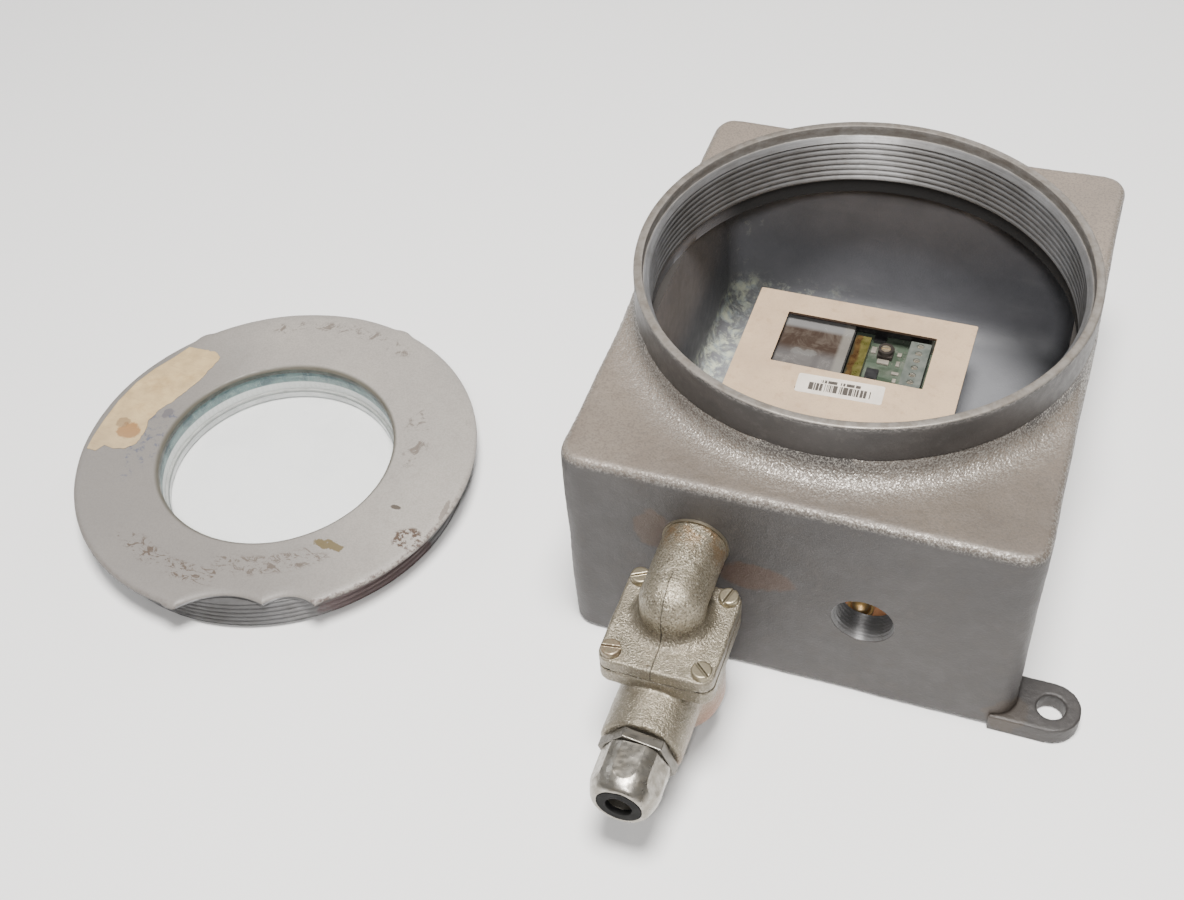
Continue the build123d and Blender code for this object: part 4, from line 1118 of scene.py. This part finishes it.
def make_collar_ring():
    """The machined collar: outer band, rim, recess and the helical internal thread."""
    angle = angles(THREAD_COLUMNS)
    top = COLLAR_TOP
    profile = [(COLLAR_R - 1.6, BAND_LOW_Z - 1.6), (COLLAR_R - 0.15, BAND_LOW_Z - 0.9),
               (COLLAR_R, BAND_LOW_Z - 0.2)]
    profile += [(COLLAR_R, z) for z in np.linspace(BAND_LOW_Z + 0.6, top - 0.9, 8)]
    profile += [(COLLAR_R - 0.12, top - 0.45), (COLLAR_R - 0.4, top - 0.15), (COLLAR_R - 0.85, top)]
    profile += [(RECESS_R + 1.6, top), (RECESS_R + 0.55, top - 0.03), (RECESS_R + 0.18, top - 0.2),
                (RECESS_R, top - 0.6), (RECESS_R, RECESS_Z + 2.4), (RECESS_R, RECESS_Z + 0.5),
                (RECESS_R - 0.15, RECESS_Z + 0.12), (RECESS_R - 0.5, RECESS_Z)]
    rows = [level_ring(angle, reach, z) for reach, z in profile]
    first = len(rows)
    for z in np.linspace(RECESS_Z - 0.15, THREAD_LOW_Z, 84):
        depth = thread_wave(z / THREAD_PITCH - angle / (2 * math.pi), 0.42, 0.50)
        reach = BORE_MINOR_R + WORN_DEPTH * depth
        lead_in = BORE_MAJOR_R + 0.3 - (RECESS_Z - z) * 0.9
        rows.append(level_ring(angle, np.maximum(reach, lead_in), z))
    last = len(rows)
    rows.append(level_ring(angle, COLLAR_R - 3.2, THREAD_LOW_Z - 0.1))
    rows.append(level_ring(angle, COLLAR_R - 3.0, BAND_LOW_Z - 2.0))
    obj = ring_object("collar_ring", np.stack(rows), 38)
    row_of = np.arange(len(obj.data.polygons)) // THREAD_COLUMNS
    set_materials(obj, (row_of >= first - 1) & (row_of < last))
    return obj


def make_conduit_thread():
    """The threaded wall of the open conduit entry, tapering inwards into a low boss."""
    angle = angles(200)
    front = -HALF_Y
    inner = front + WALL + CONDUIT_BOSS_H
    rows = []

    def row(reach, y):
        rows.append(np.stack([CONDUIT_X + reach * np.cos(angle), 0 * angle + y,
                              CONDUIT_Z + reach * np.sin(angle)], -1))

    row(CONDUIT_R + 0.35, front + 0.9)
    row(CONDUIT_R + 0.12, front + 0.30)
    for y in np.linspace(front + 0.4, inner, 84):
        depth = thread_wave((y - front) / CONDUIT_PITCH + angle / (2 * math.pi))
        taper = (y - front) / 32
        reach = CONDUIT_R - 1.05 - taper + 1.0 * depth
        reach = np.maximum(reach, CONDUIT_R + 0.2 - (y - front) * 0.42)
        row(reach, y)
    row(CONDUIT_BOSS_R - 0.8, inner)
    row(CONDUIT_BOSS_R, inner - 0.8)
    row(CONDUIT_BOSS_R + 1.0, front + WALL + 0.3)
    row(CONDUIT_BOSS_R + 1.0, front + WALL - 0.6)
    row(CONDUIT_R + 0.35, front + WALL - 0.6)
    return ring_object("conduit_entry_thread", np.stack(rows), 40)


def make_earth_screw():
    """A round-headed earth screw on its washer, on the floor behind the conduit entry."""
    steps = ((0.0, -0.3), (6.0, -0.3), (6.0, 0.9), (5.7, 1.2), (4.4, 1.2), (4.4, 2.6), (4.0, 3.6),
             (3.0, 4.3), (1.6, 4.7), (0.0, 4.8))
    profile = [(reach, FLOOR_Z + up) for reach, up in steps]
    return lathe_object("earth_screw", profile, EARTH_X, EARTH_Y)


# -------------------------------------------------------------------- cover

def circle_through(a, b, c):
    """Centre and radius of the circle through three plan points."""
    (ax, ay), (bx, by), (cx, cy) = a, b, c
    d = 2 * (ax * (by - cy) + bx * (cy - ay) + cx * (ay - by))
    ux = ((ax ** 2 + ay ** 2) * (by - cy) + (bx ** 2 + by ** 2) * (cy - ay)
          + (cx ** 2 + cy ** 2) * (ay - by)) / d
    uy = ((ax ** 2 + ay ** 2) * (cx - bx) + (bx ** 2 + by ** 2) * (ax - cx)
          + (cx ** 2 + cy ** 2) * (bx - ax)) / d
    return ux, uy, math.hypot(ax - ux, ay - uy)


def polar(reach, degrees):
    return reach * math.cos(math.radians(degrees)), reach * math.sin(math.radians(degrees))


def flange_outline(angle):
    """Radius of the cover's flange along each angle: circle, knobs and the wrench pocket."""
    reach = np.full(angle.shape, FLANGE_R)
    for turn in (32.8, -32.8, 160.9, -160.9):
        centre = math.radians(POCKET_DEG + 180 + turn)
        b = KNOB_CENTRE_R * np.cos(angle - centre)
        root = b * b - (KNOB_CENTRE_R ** 2 - KNOB_R ** 2)
        bump = np.where((root > 0) & (b > 0), b + np.sqrt(np.maximum(root, 0)), 0)
        reach = np.maximum(reach, bump)
    kernel = np.exp(-np.linspace(-2, 2, 13) ** 2)
    kernel /= kernel.sum()
    padded = np.concatenate([reach[-6:], reach, reach[:6]])
    reach = np.convolve(padded, kernel, "valid")
    cusp = polar(94.4, POCKET_DEG + 6.3)
    low = circle_through(polar(101.5, POCKET_DEG - 18.2), polar(89.0, POCKET_DEG - 3.3), cusp)
    high = circle_through(cusp, polar(91.8, POCKET_DEG + 12.7), polar(101.5, POCKET_DEG + 20.3))
    degrees = (np.degrees(angle) - POCKET_DEG + 180) % 360 - 180
    for (cx, cy, radius), start, end in ((low, -18.2, 6.3), (high, 6.3, 20.3)):
        b = cx * np.cos(angle) + cy * np.sin(angle)
        root = b * b - (cx * cx + cy * cy - radius * radius)
        near = b - np.sqrt(np.maximum(root, 0))
        inside = (degrees > start) & (degrees < end) & (root > 0)
        reach = np.where(inside, np.minimum(reach, near), reach)
    return reach


def cover_grid(profile_rows, columns):
    """Rows of a surface about the cover's axis, each (reach, z) over the angles."""
    angle = angles(columns)
    return np.stack([level_ring(angle, reach, z, COVER_X, COVER_Y) for reach, z in profile_rows])


def make_cover_flange():
    """Painted flange: soft inner edge, flat face, sloped and rounded outer edge."""
    columns = 1080
    angle = angles(columns)
    outline = flange_outline(angle)
    top = COVER_TOP
    low = FLANGE_LOW_Z
    rows = [(WINDOW_R + 6.0, LIP_Z), (WINDOW_R + 0.4, LIP_Z), (WINDOW_R, LIP_Z + 0.4),
            (WINDOW_R, top - LIP_R)]
    for turn in np.radians(np.linspace(0, 90, 8))[1:]:
        rows.append((WINDOW_R + LIP_R * (1 - math.cos(turn)), top - LIP_R + LIP_R * math.sin(turn)))
    inner = WINDOW_R + LIP_R
    outer = outline - FLANGE_SLOPE
    for share in np.linspace(0, 1, 24)[1:]:
        rows.append((inner + (outer - inner) * share, top))
    for back, drop in ((3.3, 0.10), (2.1, 0.32), (1.2, 0.62), (0.6, 1.0), (0.2, 1.45), (0.0, 1.9)):
        rows.append((outline - back, top - drop))
    rows += [(outline, low + 0.7), (outline, low + 0.35), (outline - 0.3, low), (outline - 2.0, low),
             (np.minimum(outline - 4, 84.0), low), (70.0, LIP_Z)]
    obj = ring_object("cover_flange", cover_grid(rows, columns), 45)
    roughen(obj, 0.16, 30.0, 2, 5.3, lambda p: (p[:, 2] > FLANGE_LOW_Z + 1).astype(float))
    edge_rows = len(rows) - 12
    degrees = (np.degrees(angle) - POCKET_DEG + 180) % 360 - 180
    in_pocket = (degrees > -17.6) & (degrees < 19.8)
    row_of, column_of = divmod(np.arange(len(obj.data.polygons)), columns)
    set_materials(obj, (row_of >= edge_rows + 4) & (row_of < edge_rows + 11) & in_pocket[column_of])
    return obj


def make_cover_thread():
    """The cover's boss: helical external thread, seat for the glass and ring pocket."""
    angle = angles(THREAD_COLUMNS)
    rows = [(SEAT_R, LIP_Z + 0.3), (SEAT_R, 4.0), (71.0, 4.0), (71.0, 0.4), (71.4, 0.0),
            (COVER_MINOR_R - 0.6, 0.0)]
    high = FLANGE_LOW_Z + 0.1
    for z in np.linspace(0.35, high, 66):
        depth = thread_wave(z / THREAD_PITCH - angle / (2 * math.pi), 0.36, 0.56)
        reach = COVER_MAJOR_R - 1.3 * WORN_DEPTH * depth
        reach = np.minimum(reach, COVER_MINOR_R - 0.6 + z * 1.1)
        rows.append((reach, z))
    rows.append((80.0, high))
    return ring_object("cover_thread", cover_grid(rows, THREAD_COLUMNS), 40)


# Edges of the tape from its upper to its lower end, about the cover's centre.
TAPE_OUTER = [(-79.0, 53.2), (-82.9, 44.2), (-88.6, 33.3), (-92.6, 22.1), (-94.6, 7.8),
              (-94.8, -6.8), (-94.0, -18.2), (-92.6, -26.2)]
TAPE_INNER = [(-63.5, 53.6), (-58.9, 50.6), (-59.9, 41.5), (-61.6, 32.4), (-64.4, 22.1),
              (-68.0, 13.4), (-71.3, 7.2), (-71.9, -1.0), (-69.9, -8.0), (-69.9, -16.0),
              (-73.6, -20.4), (-79.6, -22.4), (-85.0, -21.4), (-87.4, -26.3)]


def along_line(points, shares):
    """Points at even shares of the length of an open line."""
    points = np.array(points)
    steps = np.concatenate([[0], np.cumsum(np.hypot(*np.diff(points, axis=0).T))])
    return np.stack([np.interp(shares * steps[-1], steps, points[:, k]) for k in (0, 1)], -1)


def make_tape():
    """A torn strip of masking tape on the cover's face, its ends and edges ragged."""
    along = 170
    across = 44
    shares = np.linspace(0, 1, along + 1)
    outer = along_line(TAPE_OUTER, shares)
    inner = along_line(TAPE_INNER, shares)
    points = []
    for i, share in enumerate(shares):
        tear = 0.7 * noise.noise(Vector((share * 26, 0.3, 0.0)))
        tear += 0.35 * noise.noise(Vector((share * 90, 2.3, 0.0)))
        for j in range(across + 1):
            t = j / across
            plan = outer[i] + (inner[i] - outer[i]) * (t * (1 + tear * 0.035))
            plan = plan + np.array([0.3, 0.6]) * noise.noise(Vector((t * 8, share * 3, 1.0)))
            reach = math.hypot(*plan)
            sag = max(reach - (FLANGE_R - 3.6), 0.0)
            lift = 0.09 + 0.09 * noise.noise(Vector((share * 9, t * 3, 8.0)))
            z = COVER_TOP + 0.10 + lift - 0.14 * sag ** 1.6
            points.append((COVER_X + plan[0], COVER_Y + plan[1], z))
    faces = []
    for i in range(along):
        for j in range(across):
            a = i * (across + 1) + j
            faces.append([a, a + 1, a + across + 2, a + across + 1])
    obj = mesh_object("masking_tape", points, faces)
    thick = obj.modifiers.new("thickness", "SOLIDIFY")
    thick.thickness = 0.14 * MM
    thick.offset = 0.0
    return applied(obj)


# --------------------------------------------------------------- small parts

def add_seam(obj):
    """Raises a fine casting seam along the middle of the elbow's dome and flange."""
    co = read_points(obj) / MM
    wander = np.array([0.7 * noise.noise(Vector((0.0, p[1] / 5, p[2] / 5))) for p in co])
    off = np.abs(co[:, 0] - SEAM_X + wander)
    share = smoothstep(off, 1.0, 0.0) * smoothstep(co[:, 1], -145, -149) * (co[:, 2] > 61)
    write_points(obj, (co + read_normals(obj) * (0.16 * share)[:, None]) * MM)


def fillet_foot(obj, radius, foot, size):
    """Bends the crease between the elbow's drop and its flange into a concave fillet."""
    co = read_points(obj) / MM
    across = co[:, :2] - (ENTRY_X, ELBOW_Y)
    reach = np.hypot(across[:, 0], across[:, 1])
    out = reach - radius
    up = co[:, 2] - foot
    flat = (np.abs(up) < 0.45) & (out > -0.3) & (out < size)
    wall = (np.abs(out) < 0.45) & (up >= 0.45) & (up < size)
    picked = flat | wall
    turn = np.clip(np.where(flat, 1 - out / size, 1 + up / size), 0, 2) * math.pi / 4
    wanted = radius + size * (1 - np.sin(turn))
    co[picked, :2] += (across * (wanted / np.maximum(reach, 1e-6) - 1)[:, None])[picked]
    co[picked, 2] = (foot + size * (1 - np.cos(turn)))[picked]
    write_points(obj, co * MM)


def make_elbow():
    obj = softened("entry_elbow", "entry_elbow_casting", 0.55, 3)
    foot = ELBOW_TOP - ELBOW_FOOT
    fillet_foot(obj, ELBOW_TOP - ENTRY_HOLE_Z, foot, ELBOW_FILLET)

    def near_foot(p):
        reach = np.hypot(p[:, 0] - ENTRY_X, p[:, 1] - ELBOW_Y)
        return smoothstep(np.abs(p[:, 2] - foot), 4.5, 1.0) * smoothstep(reach, 20.0, 16.5)

    relax(obj, 14, near_foot, 0.5, -0.2)
    roughen(obj, 0.07, 1.8, 3, 2.2)
    roughen(obj, 0.25, 14.0, 2, 9.1)
    add_seam(obj)
    return obj


def make_chamber():
    obj = softened("lower_chamber", "lower_chamber_casting", 0.6, 4)
    roughen(obj, 0.07, 1.8, 3, 4.2)
    roughen(obj, 0.25, 14.0, 2, 6.1)
    return obj


def small_block(work, low, high, bevel=0.12):
    """Adds a bevelled block between two corners to a bmesh."""
    made = bmesh.ops.create_cube(work, size=1.0)
    verts = made["verts"]
    low = np.array(low)
    high = np.array(high)
    middle = (low + high) / 2
    for vert in verts:
        vert.co = Vector(middle + np.array(vert.co) * (high - low)) * MM
    edges = list({edge for vert in verts for edge in vert.link_edges})
    bmesh.ops.bevel(work, geom=edges, offset=bevel * MM, segments=2, profile=0.5, affect="EDGES")


def blocks_object(name, blocks, bevel=0.12):
    """One object of several bevelled blocks, each a pair of corners in millimetres."""
    mesh = bpy.data.meshes.new(name)
    work = bmesh.new()
    for low, high in blocks:
        small_block(work, low, high, bevel)
    work.to_mesh(mesh)
    work.free()
    shade_smooth(mesh, 40)
    return link(bpy.data.objects.new(name, mesh))


def lathe_object(name, profile, x, y, columns=64, sharp_deg=35):
    """A turned piece about a vertical axis; the profile runs from the axis to the axis."""
    angle = angles(columns)
    rows = [level_ring(angle, reach, z, x, y) for reach, z in profile[1:-1]]
    start, end = (x, y, profile[0][1]), (x, y, profile[-1][1])
    return bowl_object(name, np.stack(rows), start, end, sharp_deg)


# ------------------------------------------------------------------- stage

CAMERA_TARGET = (-0.1030, -0.0697, 0.0606)
CAMERA_DISTANCE = 0.6972
CAMERA_AZIMUTH = 0.413
CAMERA_ELEVATION = 0.826
CAMERA_ROLL = 0.095
CAMERA_LENS = 47.27
FLOOR_REACH = 6.0
FLOOR_DROP = -0.0004
WORLD_HORIZON = 0.20
WORLD_ZENITH = 0.85
MIDDLE = (-0.05, 0.0, 0.08)
# Name, place, aim, size, power and colour of each lamp, in metres and watts.
LIGHTS = (("key", (0.05, -0.28, 1.50), MIDDLE, 0.50, 57.0, (1.0, 0.975, 0.94)),
          ("flash", (0.115, -0.66, 0.78), MIDDLE, 0.08, 5.0, (1.0, 0.98, 0.96)),
          ("back", (0.35, 1.7, 1.0), MIDDLE, 1.2, 9.0, (0.97, 0.98, 1.0)),
          ("fill", (-1.3, 0.2, 1.0), (-0.1, 0.0, 0.05), 0.9, 5.0, (0.95, 0.97, 1.0)))


def make_camera():
    data = bpy.data.cameras.new("camera")
    data.lens = CAMERA_LENS
    data.sensor_width = 36.0
    data.clip_start = 0.02
    data.clip_end = 50.0
    cam = link(bpy.data.objects.new("camera", data))
    flat = math.cos(CAMERA_ELEVATION)
    back = Vector((math.sin(CAMERA_AZIMUTH) * flat, -math.cos(CAMERA_AZIMUTH) * flat,
                   math.sin(CAMERA_ELEVATION)))
    right = Vector((0, 0, 1)).cross(back).normalized()
    up = back.cross(right)
    tilted_up = math.cos(CAMERA_ROLL) * up + math.sin(CAMERA_ROLL) * right
    tilted_right = tilted_up.cross(back)
    turn = Matrix((tilted_right, tilted_up, back)).transposed().to_4x4()
    cam.matrix_world = Matrix.Translation(Vector(CAMERA_TARGET) + back * CAMERA_DISTANCE) @ turn
    bpy.context.scene.camera = cam


def add_light(name, place_at, aim, size, power, colour):
    data = bpy.data.lights.new(name, "AREA")
    data.shape = "DISK"
    data.size = size
    data.energy = power
    data.color = colour
    lamp = link(bpy.data.objects.new(name, data))
    lamp.location = place_at
    lamp.rotation_euler = (Vector(aim) - Vector(place_at)).to_track_quat("-Z", "Y").to_euler()


def make_stage():
    """The pale floor, the world's light and the lamps."""
    mesh = bpy.data.meshes.new("floor")
    corners = ((-1, -1), (1, -1), (1, 1), (-1, 1))
    mesh.from_pydata([(x * FLOOR_REACH, y * FLOOR_REACH, FLOOR_DROP) for x, y in corners], [],
                     [[0, 1, 2, 3]])
    floor = link(bpy.data.objects.new("floor", mesh))
    p = Paint("floor_paper", Specular_IOR_Level=0.1)
    p.set("Base Color", p.mix(p.noise(300, 3, 0.5), (0.82, 0.82, 0.82), (0.84, 0.84, 0.84)))
    p.set("Roughness", p.levels(p.noise(80, 3, 0.5), 0.3, 0.7, 0.8, 0.9))
    mesh.materials.append(p.material)
    world = bpy.data.worlds.new("world")
    bpy.context.scene.world = world
    world.use_nodes = True
    tree = world.node_tree
    sky = tree.nodes.new("ShaderNodeTexCoord").outputs["Generated"]
    split = tree.nodes.new("ShaderNodeSeparateXYZ")
    tree.links.new(sky, split.inputs[0])
    rise = tree.nodes.new("ShaderNodeMapRange")
    tree.links.new(split.outputs[2], rise.inputs["Value"])
    for socket, value in (("From Min", 0.05), ("From Max", 0.85), ("To Min", WORLD_HORIZON),
                          ("To Max", WORLD_ZENITH)):
        rise.inputs[socket].default_value = value
    tree.links.new(rise.outputs[0], tree.nodes["Background"].inputs[1])
    for light in LIGHTS:
        add_light(*light)


# ---------------------------------------------------------------- assembly

def build_enclosure():
    outer = enclosure_paint()
    place(make_casting(), "enclosure", "enclosure_casting", [outer, interior_paint()],
          "enclosure_body", "enclosure_collar")
    place(make_collar_ring(), "enclosure", "enclosure_casting", [collar_paint(), thread_metal()])
    place(make_conduit_thread(), "enclosure", "bare_aluminium",
          thread_metal("conduit_thread_metal", 1.0, None, "Y"))
    place(make_earth_screw(), "enclosure", "brass",
          screw_metal("earth_screw_brass", (0.52, 0.33, 0.13)))
    lugs = softened("mounting_lugs", "mounting_lugs_casting", 0.7, 3)
    roughen(lugs, 0.12, 2.6, 3, 5.5)
    place(lugs, "enclosure", "enclosure_casting", outer, "mounting_lugs")


def build_entry():
    metal = entry_metal()
    nickel = dull_nickel()
    black = rubber("gland_black_rubber")
    place(make_elbow(), "enclosure", "entry_casting", metal, "entry_elbow")
    place(make_chamber(), "enclosure", "entry_casting", metal, "lower_chamber")
    screws = screw_metal("flange_screw_metal", (0.36, 0.315, 0.225), ENTRY_X)
    # The gland body's hexagon takes the nickel at half tone, a darker copy as painted shade behind
    # the nut.
    hexagon = dull_nickel("gland_body_nickel", 0.5)
    for node, name, voxel, times, body, slot, look in (
            ("flange_screws", "flange_screw_heads", 0.22, 2, "enclosure", "nickel_brass", screws),
            ("gland_body", "gland_body_hexagon", 0.30, 1, "enclosure", "nickel_brass", hexagon),
            ("gland_nut", "gland_nut_domed", 0.30, 2, "nut", "nickel_brass", nickel),
            ("gland_front_ring", "gland_front_ring_soft", 0.3, 2, "nut", "seal_rubber", black)):
        obj = softened(node, name, voxel, times)
        if node == "gland_nut":
            roughen(obj, 0.10, 4.0, 2, 3.3)
        place(obj, body, slot, look, node)
    finish_node("gland_slip_washer", nickel)
    for node in ("gland_seal", "gland_sealing_ring", "flange_gasket"):
        finish_node(node, black)
    finish_node("entry_washer", sheet_steel("entry_washer_steel", (0.33, 0.29, 0.22)))
    finish_node("entry_nipple", sheet_steel("entry_nipple_steel", (0.27, 0.25, 0.22)))


def build_cover():
    tint = ((COVER_X + 78.0, COVER_Y - 50.0, 9.0), (24.0, 30.0, None), 0.3, 10.0)
    # The cover's bare thread is the thread metal at 0.85 tone, a darker copy as painted shade under
    # the flange.
    bare = thread_metal("cover_thread_metal", 0.85, tint)
    place(make_cover_flange(), "cover", "cover_casting", [cover_paint(), bare], "cover_ring")
    place(make_cover_thread(), "cover", "bare_aluminium", bare)
    place(make_tape(), "cover", "label_paper", tape_paper())
    finish_node("sight_glass_lens", lens_glass())
    finish_node("lens_cement", cement_compound())
    finish_node("lens_retaining_ring", sheet_steel("retaining_ring_metal", (0.50, 0.50, 0.50)))
    finish_node("retaining_ring_screws", screw_metal("ring_screw_metal", (0.33, 0.32, 0.30)))
    finish_node("lens_gasket", plastic("lens_gasket_rubber", (0.34, 0.34, 0.33),
                                       (0.25, 0.25, 0.24)))


# Pale parts on the board: lowest x and y, highest x and y, and height.
PALE_PARTS = ((1.2, 49.6, 7.0, 52.4, 1.3), (-3.2, 56.2, -0.6, 60.4, 1.1),
              (10.4, 50.0, 12.2, 53.4, 0.9), (9.6, 44.0, 13.2, 45.8, 0.9),
              (11.0, 38.6, 12.8, 41.2, 0.9), (9.8, 57.0, 12.0, 59.4, 1.0))


def build_instrument():
    posts = dull_nickel()
    frame_look = plastic("display_frame_plastic", (0.015, 0.015, 0.016), (0.028, 0.027, 0.026))
    chip = plastic("chip_black_plastic", (0.013, 0.013, 0.014), (0.024, 0.024, 0.025))
    dark = plastic("adjuster_dark_plastic", (0.016, 0.013, 0.012), (0.034, 0.027, 0.023))
    grey = plastic("terminal_grey_plastic", (0.080, 0.092, 0.082), (0.125, 0.135, 0.120))
    for node, look, rounding in (
            ("instrument_faceplate", faceplate_paint(), 0.22), ("faceplate_label", label_paper(), 0),
            ("circuit_board", board_laminate(), 0),
            ("instrument_chassis", sheet_steel("chassis_steel", (0.075, 0.073, 0.070)), 0),
            ("lower_posts", posts, 0), ("upper_posts", posts, 0),
            ("display_frame", frame_look, 0.2), ("display_glass", display_glass_look(), 0),
            ("display_flex_strip", flex_film(), 0), ("board_chips", chip, 0.12),
            ("adjuster_body", dark, 0),
            ("adjuster_screw", screw_metal("adjuster_brass", (0.66, 0.46, 0.22)), 0),
            ("terminal_block", grey, 0.2),
            ("terminal_screws", screw_metal("terminal_screw_metal", (0.33, 0.32, 0.30)), 0)):
        obj = finish_node(node, look)
        if rounding:
            round_edges(obj, rounding)
    board = BOARD_HIGH[2]
    blocks = [((x0, y0, board), (x1, y1, board + height)) for x0, y0, x1, y1, height in PALE_PARTS]
    place(blocks_object("board_pale_parts", blocks, 0.2), "enclosure", "board_laminate",
          plastic("pale_component", (0.27, 0.25, 0.21), (0.17, 0.155, 0.13)))
    # A black strip along the board's back edge is a dark sheet as painted shade: it hides the lit
    # floor seen past the board.
    back = BOARD_HIGH[1]
    strip = [((BOARD_LOW[0] + 3.0, back - 1.2, board),
              (BOARD_HIGH[0] - 3.0, back - 0.4, board + 5.0))]
    place(blocks_object("instrument_back_shade", strip, 0.2), "enclosure", "display_plastic",
          plastic("back_shade_plastic", (0.014, 0.014, 0.014), (0.026, 0.025, 0.024)))


make_camera()
make_stage()
build_enclosure()
build_entry()
build_cover()
build_instrument()
